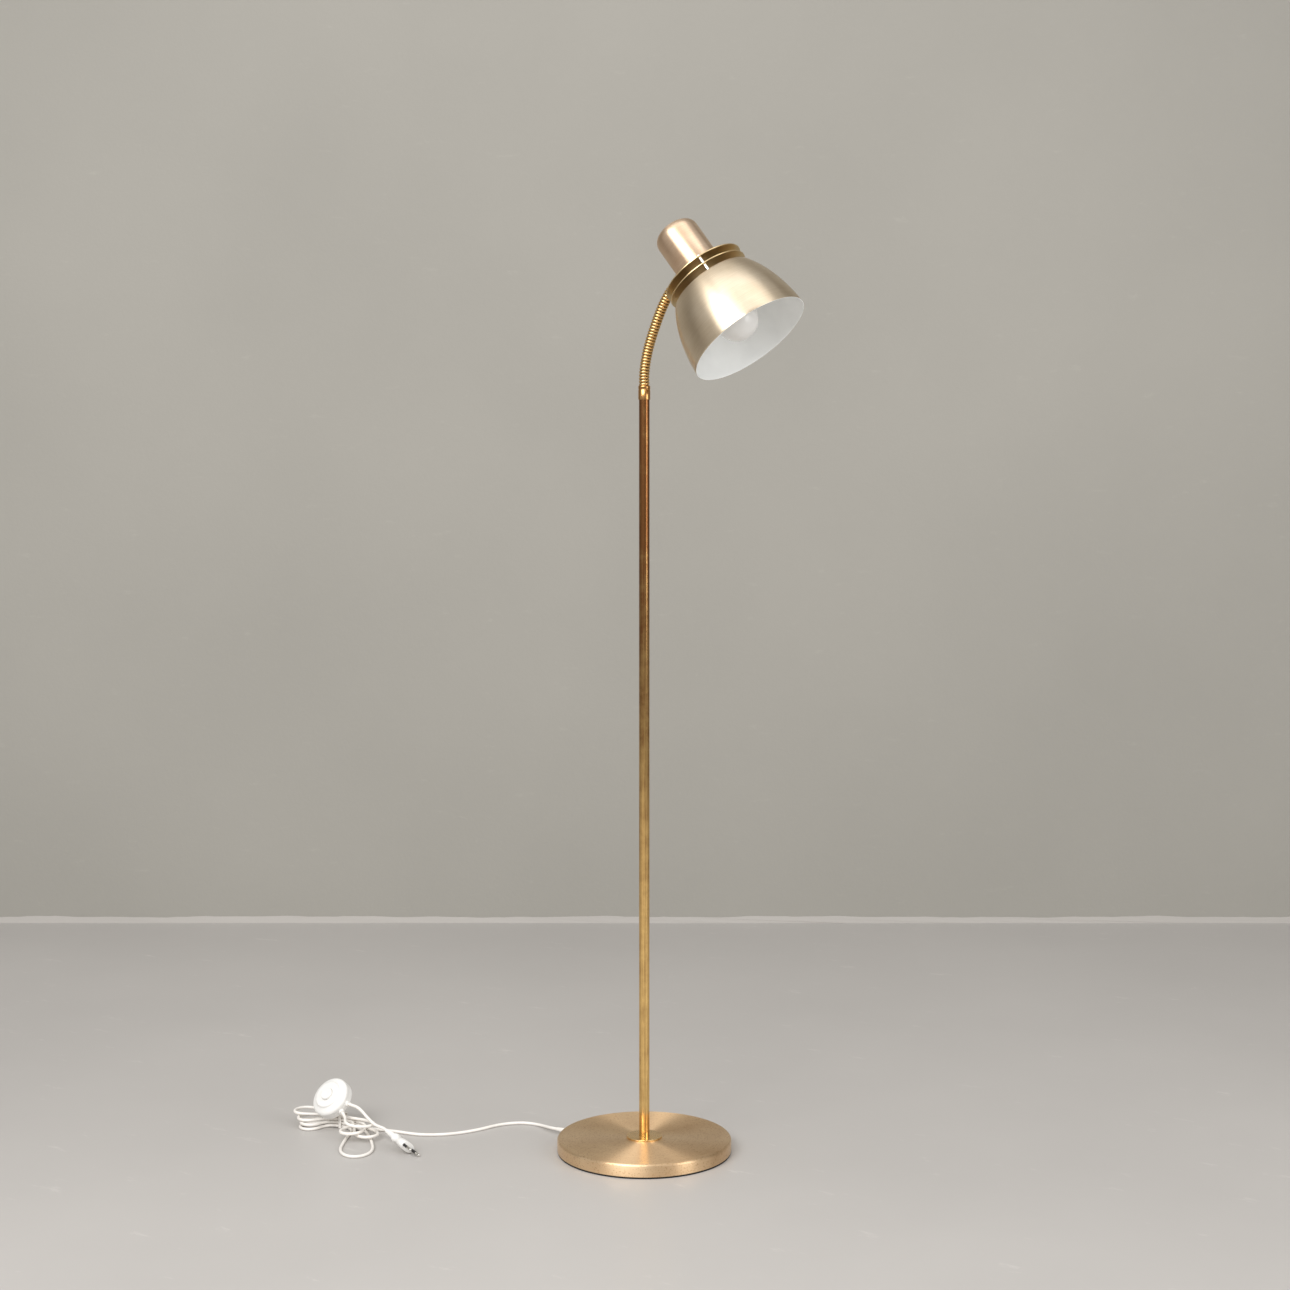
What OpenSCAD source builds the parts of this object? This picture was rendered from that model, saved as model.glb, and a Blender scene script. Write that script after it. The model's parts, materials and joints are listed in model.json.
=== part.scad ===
// Floor lamp with a weighted round base, a straight stem, a gooseneck and a bell shade.
// The origin is the centre of the base's underside, +Z is up and the shade leans towards +X.

/* [Base] */
// Diameter of the round base
base_d = 250; // [220:5:300]
// Height of the brass cover above the floor pad
base_cover_h = 18; // [16:1:30]
// Sheet thickness of the base cover
base_wall = 1.2; // [0.8:0.1:1.6]
// Outer radius of the cover's top edge
base_edge_r = 3.5; // [2:0.5:6]
// Thickness of the black floor pad
pad_t = 2.5; // [2:0.5:5]
// Step of the pad's rim in from the cover's rim
pad_inset = 0.8; // [0:0.2:4]
// Thickness of the weight's web under the stem
weight_web = 4; // [3:0.5:6]
// Diameter of the weight's recess for washer and nut
weight_recess_d = 36; // [32:1:44]

/* [Stem] */
// Outer diameter of the stem tube
stem_d = 15; // [14:0.5:20]
// Wall thickness of the stem tube
stem_wall = 1; // [0.8:0.1:1.2]
// Visible length of the stem, from the collar to the ferrule
stem_len = 1054.5; // [900:5:1300]
// Diameter of the collar at the foot of the stem
collar_d = 51; // [40:1:70]
// Thickness of that collar
collar_t = 2.5; // [2:0.5:5]
// Length of the pressed inserts in both ends of the stem
insert_len = 14; // [12:1:20]
// Outer diameter of the threaded tubes
nipple_d = 10; // [10:0.5:10.5]
// Bore of the threaded tubes in the base
nipple_bore_d = 7.5; // [7:0.5:8]

/* [Gooseneck] */
// Diameter of the ferrule between stem and neck
ferrule_d = 17; // [16.5:0.5:22]
// Length of that ferrule
ferrule_len = 20.5; // [18:0.5:30]
// Depth of the ferrule over the stem
ferrule_lap = 11.5; // [8:0.5:14]
// Diameter over the ribs
neck_d = 15; // [14.5:0.5:16]
// Depth of the grooves between ribs
rib_depth = 1.2; // [0.8:0.1:1.4]
// Length of one neck link, from pivot to pivot
link_len = 17.4; // [16.5:0.1:20]
// Number of ribs on a link
link_ribs = 4; // [3:1:4]
// Lean of each link from the vertical
link_tilt = [7, 13, 18, 21, 23, 26.5, 33, 42.5];
// Radius of the ball at a link's upper end
ball_r = 5.3; // [5.2:0.1:5.3]
// Bore of the neck
neck_bore_d = 5.8; // [5.2:0.1:6]

/* [Head] */
// Lean of the shade's axis from straight down
head_tilt = 38.6; // [20:0.2:60]
// Outer diameter of the cap
cap_d = 64; // [60:1:70]
// Length of the cap above the upper ring
cap_len = 80; // [72:1:100]
// Radius of the cap's closed end
cap_edge_r = 15; // [8:1:20]
// Sheet thickness of cap and shade
head_wall = 1; // [0.8:0.1:1.4]
// Height of the neck's entry above the upper ring
neck_entry_z = 16; // [14:1:18]
// Diameter of both rings and of the shade's flat top
ring_d = 121; // [116:1:130]
// Thickness of the rings
ring_t = 1.5; // [1:0.1:2]
// Distance from one ring to the next, and on to the shade
ring_pitch = 12; // [10:0.5:12.5]
// Circle of the three long screws
screw_pcd = 110; // [96:1:112]
// Direction of the first screw
screw_turn = -60; // [-64:1:-56]
// Diameter of the shade's mouth
mouth_d = 176; // [165:1:190]
// Height of the shade from its flat top to its mouth
shade_h = 96; // [90:1:110]
// Swell of the shade's side, as radius and depth of the curve's pull
shade_pull = [85, 37];

/* [Lampholder and bulb] */
// Outer diameter of the lampholder's skirt
holder_d = 39; // [38:0.5:40]
// Height of the holder's top over the upper ring
holder_top = 25; // [24:0.5:27]
// Depth of the holder's mouth under the upper ring
holder_mouth = 37; // [34:1:39]
// Diameter of the bulb
bulb_d = 60; // [55:1:66]
// Depth of the bulb's centre under the upper ring
bulb_depth = 85.5; // [82:0.5:88]

/* [Cord] */
// Diameter of the white cord
cord_d = 4.5; // [4:0.1:4.6]
// Height of the cord's exit over the floor
exit_z = 7; // [7:0.1:7.4]
// Length of the strain relief's taper
bush_len = 24; // [20:1:30]

/* [Foot switch] */
// Diameter of the foot switch
switch_d = 60; // [56:1:64]
// Height of its lower half
switch_base_h = 9; // [8.5:0.5:10]
// Height of its upper half
switch_cover_h = 12.5; // [12:0.5:14]
// Wall thickness of both halves
switch_wall = 2; // [1.5:0.1:2.2]
// Diameter of the push button
button_d = 18; // [16:0.5:20]
// Travel of the push button
button_travel = 3; // [2:0.5:3]

/* [Plug] */
// Length of the plug's body
plug_len = 34; // [30:1:38]
// Width of the plug's body at its face
plug_w = 26; // [25.5:0.5:28]
// Thickness of the plug's body
plug_t = 13.7; // [12:0.1:15]
// Distance between the two pins
pin_gap = 19; // [18.5:0.1:19.5]
// Length of the pins
pin_len = 19; // [18:0.5:20]
// Diameter of the pins
pin_d = 4; // [3.8:0.1:4.2]

/* [Hidden] */
$fn = 96;

// Small clearances: between sheet and thread, and between loose faces
fit = 0.1;
loose = 0.3;
cut = 1; // overshoot of every cutting tool

base_r = base_d / 2;
base_top = pad_t + base_cover_h;
weight_top = base_top - base_wall;
web_z = weight_top - weight_web;
washer_d = 28;
washer_t = 1.5;
nut_t = 3;
nut_af = 14;
nipple_r = nipple_d / 2;
nut_z = web_z - washer_t - nut_t;
lead_bend = 6.5;
collar_top = base_top + collar_t;
collar_recess = 1;
stem_z = collar_top - collar_recess;
stem_r = stem_d / 2;
ferrule_z = collar_top + stem_len;
ferrule_top = ferrule_z + ferrule_len;
stem_top = ferrule_z + ferrule_lap;

// The ribs of a link lie between its two joints
joint_gap = 2;
lip = 1.2; // reach of a link's skirt below its pivot
groove_w = 0.95;
rib_w = (link_len - joint_gap - (link_ribs - 1) * groove_w) / link_ribs;
shoulder = lip + joint_gap; // distance of a link's shoulder below the next pivot
socket_r = ball_r + loose;
ball_neck_r = sqrt(pow(ball_r, 2) - pow(shoulder, 2));
base_ribs = 3;
end_ribs = 2;
pivot_z = ferrule_top + base_ribs * rib_w + (base_ribs - 1) * groove_w + shoulder;
function ribs_len(n) = n * rib_w + (n - 1) * groove_w;
// Pivots of the neck, bottom to top
function lean(a) = [sin(a), 0, cos(a)];
function pivot(k) = k == 0 ? [0, 0, pivot_z] : pivot(k - 1) + link_len * lean(link_tilt[k - 1]);
links = len(link_tilt);

cap_r = cap_d / 2;
ring_r = ring_d / 2;
neck_collar_r = 8.5;
neck_collar_t = 3.5;
end_reach = -lip + ribs_len(end_ribs) + neck_collar_t; // from the last pivot to the cap's side
entry_tilt = 90 - head_tilt;
head_x = lean(entry_tilt); // the head's own X axis
head_z = [-sin(head_tilt), 0, cos(head_tilt)]; // and its Z axis, up into the cap
head_pos = pivot(links) + (end_reach + cap_r) * head_x - neck_entry_z * head_z;

bracket_t = 2;
bracket_w = 18;
cap_in_r = cap_r - head_wall;
bracket_x = -sqrt(pow(cap_in_r, 2) - pow(bracket_w / 2, 2)) + fit; // the leg rests on the cap's wall
nut_x = bracket_x + bracket_t;
tang_end_x = nut_x + nut_t + 1;
arm_z = holder_top;
wire_x = -18.5;
wire_r = 0.9;
wire_gap = 2.2;
shade_top_z = -2 * ring_pitch;
holder_r = holder_d / 2;
holder_hole_r = holder_r + 1;
shell_r = 14.4;
bulb_cap_r = 13.1;
bulb_contact_z = -11;
bulb_cap_z = -35;
screw_r = 1.5;

cord_r = cord_d / 2;
bush_x = -base_r - 1.5 - bush_len; // outer end of the strain relief
bush_bore_r = cord_r + 0.05;
clamp_x = -70;

// Points on an arc about c, from angle a0 to a1
function arc(c, r, a0, a1, n = 8) =
  [for (i = [0:n]) let (a = a0 + (a1 - a0) * i / n) [c[0] + r * cos(a), c[1] + r * sin(a)]];
function unit(v) = v / norm(v);
function smooth(x) = let (t = min(1, max(0, x))) t * t * (3 - 2 * t);

module hexagon(af, h) { cylinder(h = h, d = af / cos(30), $fn = 6); }

// A tube swept along points, with flat ends; the side axis stays level
module sweep(path, r, sides) {
  last = len(path) - 1;
  function way(i) = unit(path[min(last, i + 1)] - path[max(0, i - 1)]);
  function side(t) = unit(cross([0, 0, 1], t));
  rings = [for (i = [0:last]) let (t = way(i), u = side(t), w = cross(t, u))
    for (j = [0:sides - 1]) let (a = 360 * j / sides) path[i] + r * (cos(a) * u + sin(a) * w)];
  body = [for (i = [0:last - 1]) for (j = [0:sides - 1])
    let (k = (j + 1) % sides, a = i * sides, b = a + sides)
    each [[a + j, b + k, a + k], [a + j, b + j, b + k]]];
  ends = [for (j = [1:sides - 2]) each [[0, j, j + 1],
    [last * sides, last * sides + j + 1, last * sides + j]]];
  polyhedron(points = rings, faces = concat(body, ends));
}

// A smooth curve through hand-set points, with n steps in each span
function between(a, b, c, d, t) =
  0.5 * (2 * b + (c - a) * t + (2 * a - 5 * b + 4 * c - d) * t * t
    + (3 * b - a - 3 * c + d) * t * t * t);
function curve(p, n) = let (m = len(p) - 1) concat(
  [for (i = [0:m - 1]) for (s = [0:n - 1]) between(
    i == 0 ? 2 * p[0] - p[1] : p[i - 1], p[i], p[i + 1],
    i == m - 1 ? 2 * p[m] - p[m - 1] : p[i + 2], s / n)], [p[m]]);

// The head's pieces are drawn with the shade hanging straight down
module on_head() { translate(head_pos) rotate([0, -head_tilt, 0]) children(); }
module at_screws() {
  for (k = [0:2]) rotate(screw_turn + 120 * k) translate([screw_pcd / 2, 0, 0]) children();
}

// Base and stem

module base_cover() color("burlywood") difference() {
  rotate_extrude() polygon(concat(
    [[nipple_r + fit, base_top]],
    arc([base_r - base_edge_r, base_top - base_edge_r], base_edge_r, 90, 0),
    [[base_r, pad_t], [base_r - base_wall, pad_t]],
    arc([base_r - base_edge_r, base_top - base_edge_r], base_edge_r - base_wall, 0, 90),
    [[nipple_r + fit, base_top - base_wall]]));
  translate([-base_r - cut, 0, exit_z]) rotate([0, 90, 0])
    cylinder(h = base_wall + 2 * cut, r = cord_r + 1.5);
}

module base_weight() color("dimgray") difference() {
  rotate_extrude() polygon([
    [nipple_r + loose, pad_t], [base_r - base_wall - loose, pad_t],
    [base_r - base_wall - loose, weight_top - base_edge_r],
    [base_r - base_wall - base_edge_r, weight_top], [nipple_r + loose, weight_top]]);
  translate([0, 0, pad_t - cut]) cylinder(h = web_z - pad_t + cut, d = weight_recess_d);
  translate([-base_r, -cord_r - 1, pad_t - cut]) // channel for the lead
    cube([base_r, cord_d + 2, exit_z + cord_r + 1 - pad_t + cut]);
  translate([-base_r, -8, pad_t - cut]) // room for the strain relief's inner flange
    cube([base_wall + 7, 16, exit_z + 7.5 - pad_t + cut]);
  clamp_recess();
}

clamp_w = 30;
clamp_plate_t = 1.5;
module clamp_recess() translate([clamp_x - 6, -clamp_w / 2 - 1, pad_t - cut])
  cube([12, clamp_w + 2, exit_z - cord_r - pad_t + cut]);

module base_pad() color("black") cylinder(h = pad_t, r = base_r - pad_inset);

module stem_washer() color("silver") translate([0, 0, web_z - washer_t]) difference() {
  cylinder(h = washer_t, d = washer_d);
  translate([0, 0, -cut]) cylinder(h = washer_t + 2 * cut, r = nipple_r + fit);
}

module stem_nut() color("silver") translate([0, 0, nut_z]) difference() {
  hexagon(nut_af, nut_t);
  translate([0, 0, -cut]) cylinder(h = nut_t + 2 * cut, r = nipple_r);
}

module stem_nipple() color("silver") translate([0, 0, nut_z]) difference() {
  cylinder(h = stem_z + insert_len - nut_z, r = nipple_r);
  translate([0, 0, -cut])
    cylinder(h = stem_z + insert_len - nut_z + 2 * cut, d = nipple_bore_d);
}

module stem_collar() color("burlywood") rotate_extrude() polygon(concat(
  [[nipple_r + fit, base_top], [collar_d / 2, base_top]],
  arc([collar_d / 2 - 0.6, collar_top - 0.6], 0.6, 0, 90, 4),
  [[stem_r + fit, collar_top], [stem_r + fit, stem_z], [nipple_r + fit, stem_z]]));

module insert(z) translate([0, 0, z]) difference() {
  cylinder(h = insert_len, r = stem_r - stem_wall - 0.02);
  translate([0, 0, -cut]) cylinder(h = insert_len + 2 * cut, r = nipple_r);
}
module stem_foot_insert() color("silver") insert(stem_z);
module stem_top_insert() color("silver") insert(stem_top - insert_len);

module stem_tube() color("goldenrod") translate([0, 0, stem_z]) difference() {
  cylinder(h = stem_top - stem_z, r = stem_r);
  translate([0, 0, -cut]) cylinder(h = stem_top - stem_z + 2 * cut, r = stem_r - stem_wall);
}

// The lead runs from the strain relief through the base and up to the neck
lead_top = pivot_z - shoulder - 1;
module stem_lead() color("white") union() {
  translate([bush_x, 0, exit_z]) rotate([0, 90, 0])
    cylinder(h = -bush_x - lead_bend, r = cord_r);
  translate([-lead_bend, 0, exit_z + lead_bend]) rotate([90, 0, 0])
    rotate_extrude(angle = -90) translate([lead_bend, 0]) circle(r = cord_r, $fn = 48);
  translate([0, 0, exit_z + lead_bend]) cylinder(h = lead_top - exit_z - lead_bend, r = cord_r);
}

module cord_clamp() color("silver")
  translate([clamp_x - 5, -clamp_w / 2, exit_z - cord_r - clamp_plate_t]) difference() {
    cube([10, clamp_w, clamp_plate_t]);
    for (s = [0, 1]) translate([5, clamp_w * (0.17 + 0.66 * s), -cut])
      cylinder(h = clamp_plate_t + 2 * cut, r = screw_r + fit);
  }

module clamp_screws() color("silver") for (s = [0, 1])
  translate([clamp_x, clamp_w * (0.66 * s - 0.33), pad_t]) {
    cylinder(h = exit_z - cord_r - clamp_plate_t - pad_t, r = 2.6);
    cylinder(h = exit_z - cord_r - pad_t, r = screw_r);
  }

// Its inner flange stays above the pad and clear of the cover's curved wall
bush_lip_r = exit_z - pad_t - 0.2;
bush_lip_gap = 0.15;
module cord_bush() color("white") translate([-base_r, 0, exit_z]) rotate([0, -90, 0])
  rotate_extrude() polygon(concat(
    [[bush_bore_r, -base_wall - 2], [bush_lip_r, -base_wall - 2],
      [bush_lip_r, -base_wall - bush_lip_gap], [cord_r + 1.5 - fit, -base_wall - bush_lip_gap],
      [cord_r + 1.5 - fit, 0], [cord_r + 2.4, 0],
      [cord_r + 2.4, 1.5], [cord_r + 1.8, 1.5]],
    [for (i = [1:6]) [cord_r + 1.8 - i * 0.2, 1.5 + bush_len * i / 6]],
    [[bush_bore_r, 1.5 + bush_len]]));

// Gooseneck

// Half outline of n ribs above height z, from the groove's radius out and back
function rib_line(z, n) = [for (k = [0:n - 1]) for (i = [0:6])
  let (a = 180 * i / 6, z0 = z + k * (rib_w + groove_w))
  [neck_d / 2 - rib_depth * (1 - sin(a)), z0 + rib_w * (1 - cos(a)) / 2]];
// The ball about height z, from its neck up to the bore
function ball_line(z) = let (a0 = -asin(shoulder / ball_r), a1 = acos(neck_bore_d / 2 / ball_r))
  arc([0, z], ball_r, a0, a1, 12);
// The socket about height 0, from the bore down to the lip
function socket_line() = let (a1 = acos(neck_bore_d / 2 / socket_r), a0 = -asin(lip / socket_r))
  arc([0, 0], socket_r, a1, a0, 12);

module link(k) translate(pivot(k)) rotate([0, link_tilt[k], 0]) rotate_extrude()
  polygon(concat(socket_line(), rib_line(-lip, link_ribs), ball_line(link_len)));

module neck_ferrule() color("goldenrod") rotate_extrude() polygon(concat(
  [[stem_r + fit, ferrule_z], [ferrule_d / 2, ferrule_z]],
  arc([ferrule_d / 2 - 2.5, ferrule_top - 2.5], 2.5, 0, 90),
  [[nipple_r + fit, ferrule_top], [nipple_r + fit, stem_top], [stem_r + fit, stem_top]]));

module neck_base() color("goldenrod") rotate_extrude() polygon(concat(
  [[neck_bore_d / 2, stem_top - insert_len], [nipple_r, stem_top - insert_len],
    [nipple_r, ferrule_top]],
  rib_line(ferrule_top, base_ribs), ball_line(pivot_z)));

module neck_link_1() color("goldenrod") link(0);
module neck_link_2() color("goldenrod") link(1);
module neck_link_3() color("goldenrod") link(2);
module neck_link_4() color("goldenrod") link(3);
module neck_link_5() color("goldenrod") link(4);
module neck_link_6() color("goldenrod") link(5);
module neck_link_7() color("goldenrod") link(6);
module neck_link_8() color("goldenrod") link(7);

// The neck's end fitting: ribs, a collar hollowed to the cap's side and a threaded tang
module neck_end() color("goldenrod") difference() {
  translate(pivot(links)) rotate([0, entry_tilt, 0]) rotate_extrude() polygon(concat(
    socket_line(), rib_line(-lip, end_ribs),
    [[neck_collar_r, -lip + ribs_len(end_ribs)], [neck_collar_r, end_reach + 1.5],
      [nipple_r, end_reach + 1.5], [nipple_r, end_reach + cap_r + tang_end_x],
      [neck_bore_d / 2, end_reach + cap_r + tang_end_x]]));
  on_head() translate([0, 0, neck_entry_z - 12]) difference() { // the cap's side as the tool
    cylinder(h = 24, r = cap_r);
    translate([-cap_r - cut, 0, 12]) rotate([0, 90, 0])
      cylinder(h = cap_d, r = nipple_r);
  }
}

module neck_nut() color("silver") on_head() translate([nut_x, 0, neck_entry_z])
  rotate([0, 90, 0]) difference() {
    hexagon(nut_af, nut_t);
    translate([0, 0, -cut]) cylinder(h = nut_t + 2 * cut, r = nipple_r + 0.02);
  }

// Head

module cap() color("burlywood") on_head() difference() {
  rotate_extrude() polygon(concat(
    [[cap_r, 0]], arc([cap_r - cap_edge_r, cap_len - cap_edge_r], cap_edge_r, 0, 90, 12),
    [[0, cap_len], [0, cap_len - head_wall]],
    arc([cap_r - cap_edge_r, cap_len - cap_edge_r], cap_edge_r - head_wall, 90, 0, 12),
    [[cap_in_r, 0]]));
  translate([-cap_r - cut, 0, neck_entry_z]) rotate([0, 90, 0])
    cylinder(h = cap_r / 2, r = nipple_r + fit);
}

// An angle strap: its leg is held under the neck's nut, its arm carries the lampholder
bracket_foot = neck_entry_z - 9;
module holder_bracket() color("silver") on_head() difference() {
  union() {
    translate([bracket_x, -bracket_w / 2, bracket_foot])
      cube([bracket_t, bracket_w, arm_z + bracket_t - bracket_foot]);
    translate([bracket_x, -bracket_w / 2, arm_z]) cube([10 - bracket_x, bracket_w, bracket_t]);
  }
  translate([bracket_x - cut, 0, neck_entry_z]) rotate([0, 90, 0])
    cylinder(h = bracket_t + 2 * cut, r = nipple_r + fit);
  translate([0, 0, arm_z - cut]) cylinder(h = bracket_t + 2 * cut, r = nipple_r + fit);
  translate([wire_x, 0, arm_z - cut]) cylinder(h = bracket_t + 2 * cut, r = 3);
}

nipple_top_z = arm_z + bracket_t + nut_t + 1;
module holder_nipple() color("silver") on_head() translate([0, 0, arm_z - 8]) difference() {
  cylinder(h = nipple_top_z - arm_z + 8, r = nipple_r);
  translate([0, 0, -cut]) cylinder(h = nipple_top_z - arm_z + 8 + 2 * cut, d = nipple_bore_d);
}

module holder_nuts() color("silver") on_head() translate([0, 0, arm_z + bracket_t])
  difference() {
    hexagon(nut_af, nut_t);
    translate([0, 0, -cut]) cylinder(h = nut_t + 2 * cut, r = nipple_r);
  }

// Two insulated wires from the neck's end over the bracket into the lampholder
wire_low = 3.5;
wire_top = nipple_top_z + 4;
module holder_wires() color("white") on_head() for (s = [-1, 1])
  translate([0, s * wire_gap / 2, 0]) {
    start_x = wire_x - wire_low;
    loop_r = -wire_x / 2;
    translate([tang_end_x - 10, 0, neck_entry_z]) rotate([0, 90, 0])
      cylinder(h = start_x - tang_end_x + 10, r = wire_r, $fn = 24);
    translate([start_x, 0, neck_entry_z + wire_low]) rotate([90, 0, 0])
      rotate_extrude(angle = -90) translate([wire_low, 0]) circle(r = wire_r, $fn = 24);
    translate([wire_x, 0, neck_entry_z + wire_low])
      cylinder(h = wire_top - neck_entry_z - wire_low, r = wire_r, $fn = 24);
    translate([-loop_r, 0, wire_top]) rotate([90, 0, 0])
      rotate_extrude(angle = 180) translate([loop_r, 0]) circle(r = wire_r, $fn = 24);
    translate([0, 0, arm_z - 14])
      cylinder(h = wire_top - arm_z + 14, r = wire_r, $fn = 24);
  }

holder_wall = 2;
dome_z = 0.5; // joint between the holder's dome and skirt
dome_neck_r = 8;
module holder_dome() color("whitesmoke") on_head() rotate_extrude() polygon(concat(
  [[nipple_r, holder_top], [dome_neck_r, holder_top], [dome_neck_r, holder_top - 6]],
  [[holder_r - 4, holder_top - 13]],
  arc([holder_r - 5, holder_top - 18], 5, 60, 0, 5),
  [[holder_r, dome_z], [holder_r - holder_wall, dome_z],
    [holder_r - holder_wall, holder_top - 18], [dome_neck_r, holder_top - 8 - holder_wall],
    [nipple_r, holder_top - 8 - holder_wall]]));

// The skirt has a shoulder above the shade's top and threads for the ring below it
shoulder_r = holder_r + 3.5;
module holder_skirt() color("whitesmoke") on_head() rotate_extrude() polygon([
  [holder_r, dome_z], [holder_r, shade_top_z + 2], [shoulder_r, shade_top_z + 2],
  [shoulder_r, shade_top_z], [holder_r, shade_top_z], [holder_r, -holder_mouth + 1],
  [holder_r - 1, -holder_mouth], [holder_r - holder_wall, -holder_mouth],
  [holder_r - holder_wall, dome_z]]);

module holder_ring() color("whitesmoke") on_head() translate([0, 0, shade_top_z - head_wall])
  rotate_extrude() polygon([[holder_r + 0.05, 0], [holder_r + 8, 0], [holder_r + 8, -2],
    [holder_r + 3, -2], [holder_r + 3, -6], [holder_r + 0.05, -6]]);

insert_r = holder_r - holder_wall - fit;
module holder_insert() color("white") on_head() difference() {
  translate([0, 0, -holder_mouth + 2]) cylinder(h = holder_mouth - 4, r = insert_r);
  translate([0, 0, -holder_mouth + 2 - cut])
    cylinder(h = holder_mouth - 2 + bulb_contact_z + cut, r = shell_r + 0.05);
  for (s = [-1, 1]) translate([0, s * wire_gap / 2, bulb_contact_z - cut])
    cylinder(h = 20, r = wire_r + fit);
}

module holder_screw_shell() color("goldenrod") on_head() rotate_extrude()
  polygon([[bulb_cap_r + fit, -holder_mouth + 5], [shell_r, -holder_mouth + 5],
    [shell_r, bulb_contact_z], [4, bulb_contact_z], [4, bulb_contact_z - 0.5],
    [bulb_cap_r + fit, bulb_contact_z - 0.5]]);

module ring_plate(z) translate([0, 0, z - ring_t]) difference() {
  rotate_extrude() polygon([[holder_hole_r, 0], [ring_r, 0], [ring_r, ring_t],
    [holder_hole_r, ring_t]]);
  at_screws() translate([0, 0, -cut]) cylinder(h = ring_t + 2 * cut, r = screw_r + fit);
}
module ring_upper() color("darkgoldenrod") on_head() ring_plate(0);
module ring_lower() color("darkgoldenrod") on_head() ring_plate(-ring_pitch);

module ring_spacers() color("silver") on_head() at_screws() for (k = [0, 1])
  translate([0, 0, -(k + 1) * ring_pitch]) difference() {
    cylinder(h = ring_pitch - ring_t, r = 2.5);
    translate([0, 0, -cut]) cylinder(h = ring_pitch - ring_t + 2 * cut, r = screw_r + fit);
  }

head_nut_t = 2.4;
screw_head_r = 3.2;
screw_head_h = 3.4;
module head_screws() color("silver") on_head() at_screws() union() {
  translate([0, 0, shade_top_z - head_wall - head_nut_t - 1])
    cylinder(h = head_nut_t + head_wall + 1 - shade_top_z, r = screw_r);
  rotate_extrude() polygon([[0, 0], [screw_head_r, 0], [screw_head_r, screw_head_h - 1.2],
    [screw_head_r - 0.5, screw_head_h - 0.5], [screw_head_r - 1.5, screw_head_h - 0.1],
    [0, screw_head_h]]);
}

module head_nuts() color("silver") on_head() at_screws()
  translate([0, 0, shade_top_z - head_wall - head_nut_t]) difference() {
    hexagon(5.5, head_nut_t);
    translate([0, 0, -cut]) cylinder(h = head_nut_t + 2 * cut, r = screw_r);
  }

// The shade's side follows a curve from the flat top through its pull to the mouth
shade_steps = 16;
side_a = [ring_r, 0];
side_b = [shade_pull[0], -shade_pull[1]];
side_c = [mouth_d / 2, -shade_h];
function side_point(u) = (1 - u) * (1 - u) * side_a + 2 * u * (1 - u) * side_b + u * u * side_c;
function side_in(u) = let (t = unit((1 - u) * (side_b - side_a) + u * (side_c - side_b)))
  side_point(u) + head_wall * [t[1], -t[0]];
module shade() color("burlywood") on_head() translate([0, 0, shade_top_z]) difference() {
  rotate_extrude() polygon(concat(
    [[holder_hole_r - 0.5, 0]], [for (i = [0:shade_steps]) side_point(i / shade_steps)],
    [for (i = [shade_steps:-1:1]) side_in(i / shade_steps)],
    [[ring_r - head_wall, -head_wall], [holder_hole_r - 0.5, -head_wall]]));
  at_screws() translate([0, 0, -head_wall - cut])
    cylinder(h = head_wall + 2 * cut, r = screw_r + fit);
}

bulb_r = bulb_d / 2;
bulb_wall = 1;
bulb_neck_r = 13.6;
module bulb_globe() color("white") on_head() rotate_extrude() polygon(concat(
  [[bulb_neck_r - 4, bulb_cap_z + 6], [bulb_neck_r - 3, bulb_cap_z + 6],
    [bulb_neck_r - 1.6, bulb_cap_z - loose], [bulb_neck_r, bulb_cap_z - loose],
    [bulb_neck_r + 0.6, bulb_cap_z - 8], [bulb_neck_r + 2.6, bulb_cap_z - 16]],
  arc([0, -bulb_depth], bulb_r, 50, -90, 20),
  arc([0, -bulb_depth], bulb_r - bulb_wall, -90, 50, 20),
  [[bulb_neck_r + 1.6, bulb_cap_z - 16.5], [bulb_neck_r - 0.4, bulb_cap_z - 8],
    [bulb_neck_r - 1.4, bulb_cap_z - 1.5], [bulb_neck_r - 2.6, bulb_cap_z - loose]]));

module bulb_cap() color("silver") on_head() rotate_extrude() polygon(concat(
  [[0, bulb_contact_z - 1], [4.5, bulb_contact_z - 1], [4.5, bulb_contact_z - 2],
    [9, bulb_contact_z - 4]],
  [for (k = [0:4]) for (i = [0:3]) [bulb_cap_r - 0.6 * (1 - sin(60 * i)),
    bulb_contact_z - 4.5 - 3.2 * (k + i / 4)]],
  [[bulb_cap_r - 0.6, bulb_cap_z], [bulb_neck_r - 1.4, bulb_cap_z],
    [bulb_neck_r - 2.8, bulb_cap_z + 6.3], [0, bulb_cap_z + 6.3]]));

// Cord: the lead, the tied hank, the way to the switch and on to the plug

lie = cord_r + 0.1; // height of a cord's centre on the floor
tie_t = 0.8;
tie_w = 5;
hank_pos = [-438, -146]; // place of the tie
hank_turn = 4;
strand_gap = cord_r + 0.45; // half the distance of the waist's two columns
layer = cord_d + 0.6;
hank_low = cord_r + loose + tie_t + 0.05;
run = 14; // straight stretch on either side of the tie
fold_r = 30; // radius in which the folds turn aside
entry_gap = 4.9;
// Every fold's reach from the tie, its turn and half its width
left_folds = [[66, 80, 14.5], [64, 56, 14.5], [68, 30, 14.5], [80, 4, 16]];
right_folds = [[154, -57, 19], [88, -34, 14.5], [86, -88, 14.5]];
hank_layers = len(left_folds);

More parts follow.
